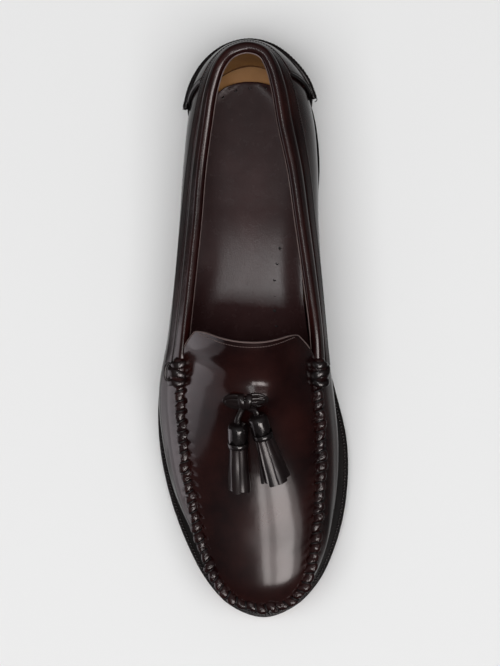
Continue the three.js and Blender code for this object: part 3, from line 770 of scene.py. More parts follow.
def whip_pattern():
    """Stitches that each arch over a raised seam."""
    pattern = Pattern("whip stitches")
    count, reach, rise, thread, slant, material = pattern.inputs(
        "Count", "Reach", "Rise", "Thread", "Slant", "Material")
    spaced, turn = along_path(pattern, count)
    arch = pattern.node("GeometryNodeCurveArc", {"mode": "RADIUS"},
                        {"Resolution": 12, "Radius": 1.0,
                         "Start Angle": math.radians(-WHIP_TUCK),
                         "Sweep Angle": math.radians(180 + 2 * WHIP_TUCK)})
    upright = pattern.node("GeometryNodeTransform", {},
                           {"Geometry": arch,
                            "Rotation": (math.radians(90), 0.0, math.radians(90))})
    sized = pattern.node("GeometryNodeTransform", {},
                         {"Geometry": upright, "Scale": pattern.vector(1.0, reach, rise)})
    circle = pattern.node("GeometryNodeCurvePrimitiveCircle", {"mode": "RADIUS"},
                          {"Resolution": 8, "Radius": thread})
    cord = pattern.node("GeometryNodeCurveToMesh", {},
                        {"Curve": sized, "Profile Curve": circle, "Fill Caps": True})
    angle = slant + uneven(pattern, -0.10, 0.10, 7)
    placed = pattern.node("GeometryNodeInstanceOnPoints", {},
                          {"Points": spaced, "Instance": cord,
                           "Rotation": turned(pattern, turn, angle)})
    pattern.finish(placed, material)
    return pattern


# Cup, per metre, and largest twist of a fringe's strips
STRIP_CUP = 150.0
STRIP_TWIST = 0.34


def fringe_pattern():
    """Flat strips that hang round a tassel's head, along -Z, and spread to their ends."""
    pattern = Pattern("fringe")
    strips, radius, length, width, thickness, spread, wave, seed, material = pattern.inputs(
        "Strips", "Radius", "Length", "Width", "Thickness", "Spread", "Wave", "Seed", "Material")
    circle = pattern.node("GeometryNodeMeshCircle", {},
                          {"Vertices": strips, "Radius": radius})
    strip = pattern.node("GeometryNodeMeshCube", {},
                         {"Size": pattern.vector(thickness, width, length),
                          "Vertices X": 2, "Vertices Y": 7, "Vertices Z": 16})
    place = pattern.node("GeometryNodeInputPosition")
    parts = pattern.tree.nodes.new("ShaderNodeSeparateXYZ")
    pattern.tree.links.new(place.socket, parts.inputs[0])
    x, y, z = [Value(pattern, parts.outputs[k]) for k in range(3)]
    cupped = pattern.node("GeometryNodeSetPosition", {},
                          {"Geometry": strip, "Offset": pattern.vector(-STRIP_CUP * y * y)})
    hung = pattern.node("GeometryNodeTransform", {},
                        {"Geometry": cupped, "Translation": pattern.vector(z=-0.5 * length)})
    facing = pattern.node("FunctionNodeAxesToRotation",
                          {"primary_axis": "X", "secondary_axis": "Z"},
                          {"Primary Axis": place, "Secondary Axis": (0.0, 0.0, 1.0)})
    facing = turned(pattern, facing, uneven(pattern, -STRIP_TWIST, STRIP_TWIST, seed))
    lengths = pattern.vector(1.0, uneven(pattern, 0.88, 1.06, seed),
                             uneven(pattern, 0.95, 1.02, seed))
    placed = pattern.node("GeometryNodeInstanceOnPoints", {},
                          {"Points": circle, "Instance": hung, "Rotation": facing,
                           "Scale": lengths})
    phase = pattern.node("GeometryNodeStoreNamedAttribute",
                         {"data_type": "FLOAT", "domain": "INSTANCE"},
                         {"Geometry": placed, "Name": "phase",
                          "Value": uneven(pattern, 0.0, 6.28, seed)})
    real = pattern.node("GeometryNodeRealizeInstances", {}, {"Geometry": phase})
    down = pattern.math("DIVIDE", -1.0 * z, length)
    own = pattern.node("GeometryNodeInputNamedAttribute", {"data_type": "FLOAT"},
                       {"Name": "phase"})
    ripple = pattern.math("SINE", 5.0 * down + own) * wave * down
    outwards = pattern.node("ShaderNodeVectorMath", {"operation": "NORMALIZE"},
                            {0: pattern.vector(x, y, 0.0)})
    move = spread * down ** 1.3 + ripple
    offset = pattern.node("ShaderNodeVectorMath", {"operation": "SCALE"},
                          {0: outwards, "Scale": move})
    bent = pattern.node("GeometryNodeSetPosition", {}, {"Geometry": real, "Offset": offset})
    pattern.finish(bent, material)
    return pattern


STITCHES = stitch_pattern()
WHIPS = whip_pattern()
FRINGE = fringe_pattern()


def path_object(points, ups, closed=False):
    """A line of edges with its up at each point, for the patterns to follow."""
    count = len(points)
    edges = [(k, k + 1) for k in range(count - 1)]
    if closed:
        edges.append((count - 1, 0))
    mesh = bpy.data.meshes.new("path")
    mesh.from_pydata(to_frame(points).tolist(), edges, [])
    up = mesh.attributes.new("up", "FLOAT_VECTOR", "POINT")
    up.data.foreach_set("vector", unit(np.asarray(ups, float)).ravel())
    return new_object("path", mesh)


def path_length(points):
    return np.linalg.norm(np.diff(points, axis=0), axis=1).sum()


def stitch_row(name, points, ups, pitch, length, width, height, slant=0.0,
               material=THREAD):
    count = int(round(path_length(points) / pitch)) + 1
    row = STITCHES.make(name, path_object(points, ups), material, count=count,
                        length=length * MM, width=width * MM, height=height * MM, slant=slant)
    return finish_piece(row)


# Sweeps and plates

def full_turn(count):
    return np.linspace(0, 2 * math.pi, count, endpoint=False)


def oval(width, height, sides=16, squareness=1.0):
    """A round section. A squareness below 1 fills it out to a strap's."""
    turn = (np.arange(sides) + 0.5) * 2 * math.pi / sides
    flat = np.stack([np.cos(turn), np.sin(turn)], -1)
    return np.sign(flat) * np.abs(flat) ** squareness * (width / 2, height / 2)


def sweep(name, points, ups, section, material, closed=False, scale=None):
    """A closed solid with one section along a path. scale widens it from point to point."""
    points = np.asarray(points, float)
    if closed:
        ahead = np.roll(points, -1, 0) - np.roll(points, 1, 0)
    else:
        ahead = np.gradient(points, axis=0)
    ahead = unit(ahead)
    across = unit(np.cross(ahead, np.broadcast_to(ups, points.shape)))
    tall = np.cross(across, ahead)
    section = np.asarray(section, float)
    shape = section[None] if section.ndim == 2 else section
    if scale is not None:
        shape = shape * np.asarray(scale, float)[:, None, None]
    rings = points[:, None] + across[:, None] * shape[..., :1] + tall[:, None] * shape[..., 1:]
    return loft(name, rings, material, closed)


def quarter_round(share):
    """Rises from 0 to 1 as a quarter of a circle does."""
    return np.sqrt(1 - (1 - np.clip(share, 0, 1)) ** 2)


def ends_rounded(count, share):
    """Scales of 0 to 1 that round off both ends of a sweep."""
    place = np.linspace(0, 1, count)
    return quarter_round(np.minimum(place, 1 - place) / share).clip(0.05, 1)


def spaced_stations(count, first=0.0, last=LAST):
    """Stations that crowd towards the heel's back and the toe, where the outline turns."""
    turn = np.linspace(0, math.pi, count)
    return first + (last - first) * (1 - np.cos(turn)) / 2


def slab(name, edge, base, material, across=12, count=150):
    """A plate over the sole's plan. edge: rows of inset and height, from the bottom up."""
    stations = spaced_stations(count)
    insets = np.array([row[0] for row in edge])
    heights = np.array([row[1] for row in edge])

    def side(stations):
        plan = np.stack([inset_plan(stations, inset) for inset in insets], 1)
        return with_height(plan, base(plan[..., 1]) + heights)

    lateral = side(stations)
    medial = side(RING - stations)
    over = np.linspace(0, 1, across + 2)[1:-1]
    bottom = lateral[:, :1] + (medial[:, :1] - lateral[:, :1]) * over[:, None]
    top = lateral[:, -1:] + (medial[:, -1:] - lateral[:, -1:]) * over[:, None]
    bottom[..., 2] = base(bottom[..., 1]) + heights[0]
    top[..., 2] = base(top[..., 1]) + heights[-1]
    rings = np.concatenate([lateral, top, medial[:, ::-1], bottom[:, ::-1]], 1)
    return loft(name, rings, material, closed=False)


def inset_plan(stations, inset):
    return sole_inset(stations, inset(stations) if callable(inset) else inset)


# Seam and pinch phase: one count of whip stitches drives the thread, the scallops and puckers

RIDGE_START = 8.9
WHIP_PITCH = 5.4

ridge_stations = np.linspace(RIDGE_START, RING - RIDGE_START, 900)
ridge_points = TOP_PATH(ridge_stations / RING)
ridge_steps = np.linalg.norm(np.diff(ridge_points, axis=0), axis=1)
ridge_arc = np.concatenate([[0.0], np.cumsum(ridge_steps)])
RIDGE_LENGTH = ridge_arc[-1]
WHIP_COUNT = int(round(RIDGE_LENGTH / WHIP_PITCH)) + 1


SEAM_CHANCE = np.random.default_rng(21)
HUMP_SIZE = SEAM_CHANCE.uniform(-1, 1, WHIP_COUNT + 1)
HUMP_SIDE = SEAM_CHANCE.uniform(-1, 1, WHIP_COUNT + 1)
HUMP_LEAN = SEAM_CHANCE.uniform(-1.3, 1.3, WHIP_COUNT + 1)
STITCH_PULL = SEAM_CHANCE.uniform(0.55, 1.1, WHIP_COUNT + 1)


def seam_phase(station):
    """Whole at each whip stitch, counted from the lateral end."""
    return np.interp(station, ridge_stations, ridge_arc) * (WHIP_COUNT - 1) / RIDGE_LENGTH


def pinch(station, sharpness=3.0):
    """Near 1 where a whip stitch pulls the leather in, 0 half-way between two stitches."""
    phase = seam_phase(station)
    wave = (0.5 + 0.5 * np.cos(2 * math.pi * phase)) ** sharpness
    pull = STITCH_PULL[np.clip(np.rint(phase).astype(int), 0, WHIP_COUNT)]
    inside = (station > RIDGE_START - 0.05) & (station < RING - RIDGE_START + 0.05)
    return np.where(inside, wave * pull, 0.0)


# Upper

PUCKER_DEPTH = 0.75
PUCKER_REACH = 6.0
PUCKER_START = 0.42
TOE_PUCKER_ALONG = (0.55, 0.85)
SWELL = 0.35
SWELL_PLACE = 2.5

# Soft troughs and ridges. Columns: the middle, across and along; the reach across
# and along; the lean; the depth inwards, in millimetres. On the wall, across is the station and
# along the rise; on the apron they are over and back.
WALL_CREASES = [
    (9.5, 0.62, 0.9, 0.10, -0.10, 0.30),
    (10.6, 0.52, 0.8, 0.09, -0.12, 0.22),
    (11.6, 0.60, 0.6, 0.08, -0.10, -0.18),
    (20.4, 0.62, 0.9, 0.10, 0.10, 0.30),
    (19.3, 0.54, 0.8, 0.09, 0.12, 0.22),
    (18.3, 0.62, 0.7, 0.08, 0.10, -0.18),
    (6.4, 0.45, 1.1, 0.12, 0.05, 0.35),
    (23.6, 0.45, 1.1, 0.12, -0.05, 0.35),
]
APRON_CREASES = [
    (0.25, 0.62, 0.20, 0.05, 0.0125, 0.25),
    (0.78, 0.62, 0.18, 0.05, -0.0125, 0.25),
    (0.18, 0.47, 0.15, 0.04, 0.008, -0.18),
    (0.85, 0.45, 0.14, 0.04, -0.008, 0.18),
    (0.545, 0.599, 0.18, 0.042, 0.0, -3.7),
]


def crease_relief(rows, across, along):
    relief = 0.0
    for middle, height, wide, long, lean, depth in rows:
        u = (across - middle) / wide
        v = (along - height - lean * u) / long
        relief = relief - depth * np.exp(-u * u - v * v)
    return relief


def wall_relief(station, rise):
    """How far the wall's leather stands out of the last: puckers under the seam and creases."""
    height = np.linalg.norm(wall(station, 1.0) - wall(station, rise), axis=-1)
    along = wall(station, rise)[..., 1] / SHOE_LENGTH
    strength = PUCKER_START + (1 - PUCKER_START) * smoothstep(along, *TOE_PUCKER_ALONG)
    reach = np.exp(-(height / PUCKER_REACH) ** 2)
    relief = -PUCKER_DEPTH * strength * reach * pinch(station)
    swell = SWELL * strength * np.exp(-((height - SWELL_PLACE) / 3.0) ** 2) * (1 - pinch(station))
    front = (station > RIDGE_START) & (station < RING - RIDGE_START)
    return relief + np.where(front, swell, 0.0) + crease_relief(WALL_CREASES, station, rise)


def upper_wall():
    stations = np.linspace(0, RING, 840, endpoint=False)
    rises = 1 - np.linspace(1, 0, 46) ** 1.35
    s, r = grid(stations, rises)
    outer = wall_offset(s, r, wall_relief(s, r))
    inner = wall_offset(*grid(stations, np.linspace(1, 0, 12)), -LEATHER_WALL)
    wall_shell = loft("quarters", np.concatenate([outer, inner], 1), OXBLOOD)
    return finish_piece(wall_shell, ["upper"])


APRON_DIMPLE = 1.25
DIMPLE_PLACE = 2.0
DIMPLE_REACH = 3.6


def apron_relief(back, over):
    point = apron(back, over)
    left = np.linalg.norm(point - apron(back, 0.0), axis=-1)
    right = np.linalg.norm(point - apron(back, 1.0), axis=-1)
    rows = np.linspace(0, 1, len(APRON_ROWS) + len(TONGUE_ROWS))[:len(APRON_ROWS)]
    stations = [row[0] for row in APRON_ROWS]
    station = np.interp(back, rows, stations)
    relief = np.zeros_like(back)
    seam = back < rows[-1]
    for distance, place in ((left, station), (right, RING - station)):
        reach = np.exp(-((distance - DIMPLE_PLACE) / DIMPLE_REACH) ** 2)
        relief = relief - np.where(seam, APRON_DIMPLE * reach * pinch(place, 2.0), 0.0)
    return relief + crease_relief(APRON_CREASES, over, back)


def vamp():
    backs = np.linspace(0, 1, 330)
    overs = np.linspace(0, 1, 120)
    b, o = grid(backs, overs)
    b = ear_trim(b, o)
    outer = apron_offset(b, o, apron_relief(b, o))
    inner = apron_offset(b[:, ::-1], o[:, ::-1], -LEATHER_WALL)
    shell = loft("vamp_and_tongue", np.concatenate([outer, inner], 1), OXBLOOD, closed=False)
    return finish_piece(shell, ["upper"])


WHIP_SLANT = 0.34
HUMP_RINGS = 16
HUMP_LOW = 0.62
HUMP_HIGH = 0.44
HUMP_WANDER = 0.8
HUMP_LIFT = 0.45
RIDGE_SECTION = oval(RIDGE_WIDTH * 1.04, RIDGE_RISE * 0.86, 24)


def moc_ridge():
    """The raised seam: plump, uneven humps of leather between slanted whip stitches."""
    arcs = np.linspace(0, RIDGE_LENGTH, (WHIP_COUNT - 1) * HUMP_RINGS + 1)
    stations = np.interp(arcs, ridge_arc, ridge_stations)
    slant = RIDGE_SECTION[:, 0] / WHIP_PITCH * math.tan(WHIP_SLANT)
    phase = np.clip(seam_phase(stations)[:, None] - slant, 0, WHIP_COUNT - 1)
    hump = np.minimum(phase.astype(int), WHIP_COUNT - 2)
    share = (phase - hump) ** (1 + 0.4 * HUMP_LEAN[hump])
    plump = np.sin(math.pi * share.clip(0, 1)) ** 0.6
    scale = HUMP_LOW + (HUMP_HIGH + 0.2 * HUMP_SIZE[hump]) * plump
    middle = np.minimum(seam_phase(stations).astype(int), WHIP_COUNT - 2)
    swing = np.sin(math.pi * (seam_phase(stations) - middle)) ** 2
    ahead = TOP_PATH.tangent(stations / RING)
    sideways = unit(np.cross(ahead, (0, 0, 1)))
    line = TOP_PATH(stations / RING) + (0, 0, RIDGE_RISE * 0.1)
    points = line + sideways * (HUMP_WANDER * HUMP_SIDE[middle] * swing)[:, None]
    points[:, 2] += HUMP_LIFT * HUMP_LEAN[middle] * swing
    ridge = sweep("moc_ridge", points, (0, 0, 1), RIDGE_SECTION * scale[..., None], PUCKERED)
    finish_piece(ridge, ["upper"])
    path = path_object(line, np.broadcast_to((0.0, 0.0, 1.0), line.shape))
    whips = WHIPS.make("moc_whip_stitches", path, THREAD, count=WHIP_COUNT,
                       reach=2.25 * MM, rise=1.85 * MM, thread=0.5 * MM, slant=WHIP_SLANT)
    finish_piece(whips)


LINING_BACK = -LEATHER_WALL - 0.05
LINING_FACE = LINING_BACK - 0.6
HEEL_LINING_FRONT = 30.0


def linings():
    """Linings of the quarters, tan at the heel, and of the vamp."""
    stations = np.linspace(0, RING, 360, endpoint=False)
    down = np.linspace(0.995, 0.03, 30)
    s, r = grid(stations, down)
    inner = wall_offset(s, r, LINING_FACE)
    outer = wall_offset(s, r, LINING_BACK)
    lining = loft("quarter_lining", np.concatenate([inner, outer[:, ::-1]], 1), LINING)
    lining.data.materials.append(HEEL_LINING)
    border = (HEEL_LINING_FRONT - HEEL_REST_ALONG * SHOE_LENGTH) * MM
    for face in lining.data.polygons:
        face.material_index = int(face.center.y < border)
    finish_piece(lining, ["upper"])
    backs = np.linspace(0.02, 0.995, 90)
    overs = np.linspace(0.03, 0.97, 40)
    b, o = grid(backs, overs)
    b = ear_trim(b, o)
    upper_face = apron_offset(b, o, LINING_BACK)
    under_face = apron_offset(b, o, LINING_FACE)
    rings = np.concatenate([upper_face, under_face[:, ::-1]], 1)
    finish_piece(loft("vamp_lining", rings, LINING, closed=False))


# Collar

BAND_END = 8.55
ROLL_WIDTH_FLAT = 5.4
ROLL_PROUD = 1.1
BAND_PROUD = OVERLAY_SEAT + OVERLAY_THICKNESS
BAND_BACK = 0.2
BAND_EDGE = 0.6
BAND_EDGE_PROUD = 0.35
LIP_OFFSET = -2.5
LIP_INSIDE = -0.5
LIP_RISE = 0.95
GROOVE_DEPTH = 0.9
PIPING_WIDTH = 0.85
STITCHES_DOWN = 11.8
STITCH_LIFT = 0.05


def band_rise(station):
    top, middle, foot = [wall(station, rise) for rise in (1.0, 0.5, 0.0)]
    height = np.linalg.norm(top - middle, axis=-1) + np.linalg.norm(middle - foot, axis=-1)
    return 1 - COLLAR_BAND_WIDTH / height


def collar():
    """A flat band, a groove above it, and a padded roll over the topline to its inner lip."""
    stations = np.linspace(-BAND_END, BAND_END, 520)
    low = band_rise(stations)
    tall = COLLAR_BAND_WIDTH / (1 - low)
    down = np.concatenate([np.linspace(COLLAR_BAND_WIDTH, 12.9, 5), np.linspace(12.4, 6.4, 9),
                           np.linspace(6.0, 0.0, 22)])
    s, d = grid(stations, down)
    rise = 1 - d / tall[:, None]
    edge = quarter_round((COLLAR_BAND_WIDTH - d) / BAND_EDGE)
    pad = np.clip((ROLL_WIDTH_FLAT - d) / ROLL_WIDTH_FLAT, 0, 1)
    roll = ROLL_PROUD * np.sin(math.pi / 2 * np.clip(pad * 1.5, 0, 1)) ** 0.7
    groove = GROOVE_DEPTH * np.exp(-((d - ROLL_WIDTH_FLAT) / 0.6) ** 2)
    offset = BAND_EDGE_PROUD + (BAND_PROUD - BAND_EDGE_PROUD) * edge + roll - groove
    face = wall_offset(s, rise, offset)
    top = wall(stations, 1.0)
    normal = face_normal(wall, stations, 1.0)
    up = unit(top - wall(stations, 0.96))
    last = offset[:, -1:]
    middle = (last + LIP_OFFSET) / 2
    radius = (last - LIP_OFFSET) / 2
    turn = np.linspace(0, math.pi, 17)[1:-1]
    out = middle + radius * np.cos(turn)
    high = 0.85 * radius * np.sin(turn)
    arch = top[:, None] + normal[:, None] * out[..., None] + up[:, None] * high[..., None]
    lip = wall_offset(*grid(stations, np.linspace(1.0, LIP_RISE, 4)), LIP_OFFSET)
    inside = wall_offset(*grid(stations, np.linspace(LIP_RISE, 1.0, 3)), LIP_INSIDE)
    s, d = grid(stations, np.linspace(0, COLLAR_BAND_WIDTH, 10))
    under = wall_offset(s, 1 - d / tall[:, None], BAND_BACK)
    rings = np.concatenate([face, arch, lip, inside, under], 1)
    band = loft("collar_band", rings, OXBLOOD, closed=False)
    finish_piece(band, ["collar_band"])
    piping_path = top + normal * (LIP_OFFSET - 0.15) + up * 0.1
    # The piping's pale colour is a painted highlight line along the lip.
    piping = sweep("topline_piping", piping_path, normal, oval(PIPING_WIDTH, PIPING_WIDTH, 10), PIPING_PAINTED_HIGHLIGHT)
    finish_piece(piping)
    row = wall_offset(stations, 1 - STITCHES_DOWN / tall, BAND_PROUD + STITCH_LIFT)
    outward = face_normal(wall, stations, low)
    stitch_row("collar_stitches", row, outward, 1.45, 1.0, 0.45, 0.35)


# Counter and its raised back seam

BACK_SEAM_STITCHES = 56
COUNTER_BACK = 0.1
COUNTER_HALF = (2.9, 2.6)
COUNTER_FLARE = 1.4
COUNTER_GAP = 0.6
BACK_SEAM = (0.46, 0.56)
BACK_SEAM_PROUD = 1.5
SEAM_FALL = 0.11


def counter_place(side, rise):
    """Station and rise on the wall of a place on the counter. rise ends at the collar band."""
    fall = SEAM_FALL * side ** 2 * smoothstep(rise, 0, 0.4) * (1 - smoothstep(rise, 0.6, 1))
    share = rise - fall
    station = side * (np.where(side > 0, *COUNTER_HALF) + COUNTER_FLARE * (1 - share))
    return station, share * (band_rise(station) - COUNTER_GAP / COLLAR_HEIGHT)


def counter():
    """The back piece, with its bound and stitched side edges; the black of the binding is painted
    shade under the raised edges.
    """
    sides = np.linspace(-1, 1, 320)
    rises = np.concatenate([np.linspace(0.01, 0.45, 16), np.linspace(0.455, 0.565, 18),
                            np.linspace(0.57, 1.0, 18)])
    d, r = grid(sides, rises)
    low, high = BACK_SEAM
    across = np.clip((r - low) / (high - low), 0, 1)
    hump = np.sqrt(np.clip(1 - (2 * across - 1) ** 2, 0, 1))
    ends = smoothstep(1 - np.abs(d), 0.0, 0.05)
    proud = BACK_SEAM_PROUD * hump * (0.6 + 0.4 * ends)
    edges = np.minimum((r - 0.01) / 0.012, (1 - np.abs(d)) / 0.01)
    foot = OVERLAY_SEAT / 2
    offset = foot + (BAND_PROUD - foot) * quarter_round(edges) + proud
    station, rise = counter_place(d, r)
    face = wall_offset(station, rise, offset)
    back = wall_offset(*counter_place(*grid(sides, rises[::-1])), COUNTER_BACK)
    piece = loft("counter", np.concatenate([face, back], 1), OXBLOOD, closed=False)
    finish_piece(piece, ["counter"])
    for side, word in ((-1.0, "medial"), (1.0, "lateral")):
        rise = np.linspace(0.02, 1.0, 110)
        station, level = counter_place(side, rise)
        seam = wall_offset(station, level, OVERLAY_SEAT + 0.75)
        ups = face_normal(wall, station, level)
        # The bead's black colour is painted shade under the counter's raised edge.
        bead = sweep("counter_edge_" + word, seam, ups, oval(1.7, 2.0, 12), TRIM,
                     scale=ends_rounded(len(rise), 0.03))
        finish_piece(bead)
        station, level = counter_place(side * 0.955, rise)
        row = wall_offset(station, level, BAND_PROUD + STITCH_LIFT)
        stitch_row("counter_stitches_" + word, row, ups, 1.6, 1.15, 0.5, 0.4)


def back_seam():
    """The raised roll across the counter, nubbed at its ends, with its hand-sewn whips."""
    end = 1.03
    side = np.linspace(-end, end, 240)
    station, level = counter_place(side, sum(BACK_SEAM) / 2)
    ups = face_normal(wall, station, level)
    spine = wall_offset(station, level, BAND_PROUD + 0.85)
    nub = 1 + 0.22 * np.exp(-((end - np.abs(side)) / 0.03) ** 2)
    roll = sweep("back_seam", spine, ups, oval(5.2, 3.2, 20), TRIM,
                 scale=nub * ends_rounded(len(side), 0.012))
    finish_piece(roll)
    whips = WHIPS.make("back_seam_stitches", path_object(spine, ups), THREAD,
                       count=BACK_SEAM_STITCHES + 1, reach=2.5 * MM, rise=1.52 * MM,
                       thread=0.22 * MM, slant=0.3)
    finish_piece(whips)


# Tongue edge

TONGUE_STITCHES_IN = 2.6


def tongue_piping():
    """The bound edge of the tongue, with a row of stitches inside it."""
    over = np.linspace(0.0, 1.0, 150)
    side = np.linspace(0.80, ear_trim(1.0, 0.0) - 0.006, 30)
    back = np.concatenate([side, ear_trim(1.0, over), side[::-1]])
    over = np.concatenate([0 * side, over, 0 * side + 1])
    line = Path(apron_offset(back, over, -0.35)[::3])
    ups = Path(apron_normal(back, over)[::3])
    place = np.linspace(0, 1, 240)
    # Pale piping: a painted highlight line along the tongue's edge.
    piping = sweep("tongue_piping", line(place), unit(ups(place)), oval(0.7, 1.3, 12), PIPING_PAINTED_HIGHLIGHT,
                   scale=ends_rounded(len(place), 0.02))
    finish_piece(piping)
    over = np.linspace(0.045, 0.955, 160)
    near = 0.97
    slope = np.linalg.norm(apron(1.0, over) - apron(near, over), axis=-1) / (1 - near)
    step = TONGUE_STITCHES_IN / slope
    back = ear_trim(1 - step, over)
    row = apron_offset(back, over, STITCH_LIFT)
    # The pale stitches are painted glints.
    stitch_row("tongue_stitches", row, apron_normal(back, over), 1.5, 1.1, 0.5, 0.45,
               material=PIPING_PAINTED_HIGHLIGHT)


# Sole and heel

# Edges, from the bottom up: inset and height. The welt's inner rows are inset from the upper.
OUTSOLE_EDGE = [(0.9, 0.0), (0.3, 0.25), (0.05, 1.0), (0.0, 2.4), (0.05, 2.7), (0.35, 2.95),
                (0.05, 3.2), (0.0, 4.2), (0.15, 4.8), (0.5, 5.0)]
WELT_TOP = 4.75
WELT_EDGE = [(0.4, 0.0), (0.05, 0.5), (0.0, 2.2), (0.1, 3.9), (0.5, 4.55), (1.0, WELT_TOP)]
WELT_INSIDE = [(-1.6, WELT_THICKNESS + 0.1), (-1.0, WELT_THICKNESS + 0.6),
               (LEATHER_WALL + 0.2, WELT_THICKNESS + 0.6), (LEATHER_WALL + 0.2, 0.0)]
WELT_STITCHES_IN = (1.2, 1.7)


def outsole():
    piece = slab("outsole", OUTSOLE_EDGE, underside, TREAD)
    piece.data.materials.append(EDGE)
    for face in piece.data.polygons:
        face.material_index = int(face.normal.z > -0.75)
    finish_piece(piece, ["outsole"], sharp=35)


def on_outsole(plan, height):
    return with_height(plan, underside(plan[:, 1]) + OUTSOLE_THICKNESS + 0.1 + height)


def welt():
    stations = np.linspace(0, RING, 720, endpoint=False)
    show = show_at(stations)
    rows = [on_outsole(sole_inset(stations, inset), height) for inset, height in WELT_EDGE]
    rows += [on_outsole(sole_inset(stations, show + inset), height)
             for inset, height in WELT_INSIDE]
    finish_piece(loft("welt", np.stack(rows, 1), EDGE), ["welt"], sharp=40)
    loop = np.linspace(0, RING, 720)
    inset = np.interp(loop, stations, np.clip(show * 0.42, *WELT_STITCHES_IN), period=RING)
    points = on_outsole(sole_inset(loop, inset), WELT_TOP)
    ups = np.broadcast_to((0.0, 0.0, 1.0), points.shape)
    stitch_row("welt_stitches", points, ups, 1.75, 1.15, 2.0, 1.2, slant=0.35,
               material=TRIM)


BREAST = {"lateral": 5.33, "medial": 5.8}
BREAST_HOLLOW = 2.0
HEEL_EDGE_INSET = 0.8
HEEL_SIDE_TAPER = 1.6
HEEL_BACK_TUCK = 4.0
HEEL_SEAM = 0.06


def heel_inset(stations, height):
    near = np.where(stations > LAST, stations - RING, stations)
    backness = np.clip(1 - np.abs(near) / 3, 0, 1) ** 2
    lean = 1 - height / HEEL_HEIGHT
    return HEEL_EDGE_INSET + lean * (HEEL_SIDE_TAPER + HEEL_BACK_TUCK * backness)


def heel_layer(name, low, high, material):
    """One layer of the heel, between two heights, with eased edges."""
    shares = (1 - np.cos(np.linspace(0, math.pi, 90))) / 2
    profile = [(0.5, 0.0), (0.1, 0.06), (0.0, 0.2), (0.0, 0.8), (0.1, 0.94), (0.5, 1.0)]

    def side(stations):
        rows = []
        for eased, share in profile:
            guess = sole_inset(stations, HEEL_EDGE_INSET)[:, 1]
            height = low(guess) + (high(guess) - low(guess)) * share
            plan = sole_inset(stations, heel_inset(stations, height) + eased)
            level = low(plan[:, 1]) + (high(plan[:, 1]) - low(plan[:, 1])) * share
            rows.append(with_height(plan, level))
        return np.stack(rows, 1)

    lateral = side(BREAST["lateral"] * shares)
    medial = side(RING - BREAST["medial"] * shares)
    over = np.linspace(0, 1, 14)[1:-1]
    hollow = BREAST_HOLLOW * shares[:, None] ** 8 * (1 - (2 * over - 1) ** 2)

    def across(k, level):
        rows = lateral[:, k, None] + (medial[:, k, None] - lateral[:, k, None]) * over[:, None]
        rows[..., 1] -= hollow
        rows[..., 2] = level(rows[..., 1])
        return rows

    rings = np.concatenate([lateral, across(-1, high), medial[:, ::-1],
                            across(0, low)[:, ::-1]], 1)
    layer = loft(name, rings, material, closed=False)
    return finish_piece(layer, [name], sharp=40)


def flat_at(height):
    return lambda y: 0 * y + height


def heel_pieces():
    first = TOP_LIFT_THICKNESS + CLEARANCE
    second = first + LIFT_THICKNESS + CLEARANCE
    heel_layer("top_lift", flat_at(0.0), flat_at(first - HEEL_SEAM), RUBBER)
    heel_layer("heel_lift_1", flat_at(first), flat_at(second - HEEL_SEAM), EDGE)
    heel_layer("heel_lift_2", flat_at(second), lambda y: underside(y) - HEEL_SEAM, EDGE)


# Insole board and sock

SOCK_BACK = 17.8
SOCK_THICKNESS = 0.9
SOCK_DISH = 2.0
DISH_REACH = 7.0
# The sock's back edge is drawn to an arc over this stretch
SOCK_BEND = (10, 60)
SOCK_ARC = 2.4
# A low swell under the arch: height, place, reach along and reach from the edge
ARCH_SWELL = (0.5, 120, 40, 14.0)
BOARD_INSET = 1.2
SOCK_INSET = 1.4
PINHOLE = 1.7
# Rings of a pinhole's dark dot, painted shade for the hole: reach of its radius, and height
PINHOLE_RINGS = ((1.0, -0.05), (1.0, 0.03), (0.75, 0.05), (0.1, -0.02))
# Pinholes of the sock, x and y from the sole's back
BACK_PINHOLES = [(14.1, 25.9), (7.2, 22.4), (-0.3, 21.2), (-8.9, 21.0), (-15.5, 23.5)]
MEDIAL_PINHOLES = [(-16.0, 105.2), (-14.6, 113.3), (-13.2, 121.9), (-13.2, 129.9),
                   (-13.2, 138.0), (-14.0, 146.0)]


def board_top(y):
    return underside(y) + OUTSOLE_THICKNESS + CLEARANCE + INSOLE_THICKNESS


def insole_board():
    def rim(stations):
        return show_at(stations) + BOARD_INSET
    base = OUTSOLE_THICKNESS + CLEARANCE
    edge = [(rim, base), (rim, base + 2), (rim, base + 5), (rim, base + INSOLE_THICKNESS)]
    board = slab("insole_board", edge, underside, HEEL_LINING, across=10, count=110)
    finish_piece(board, ["insole"], sharp=40)


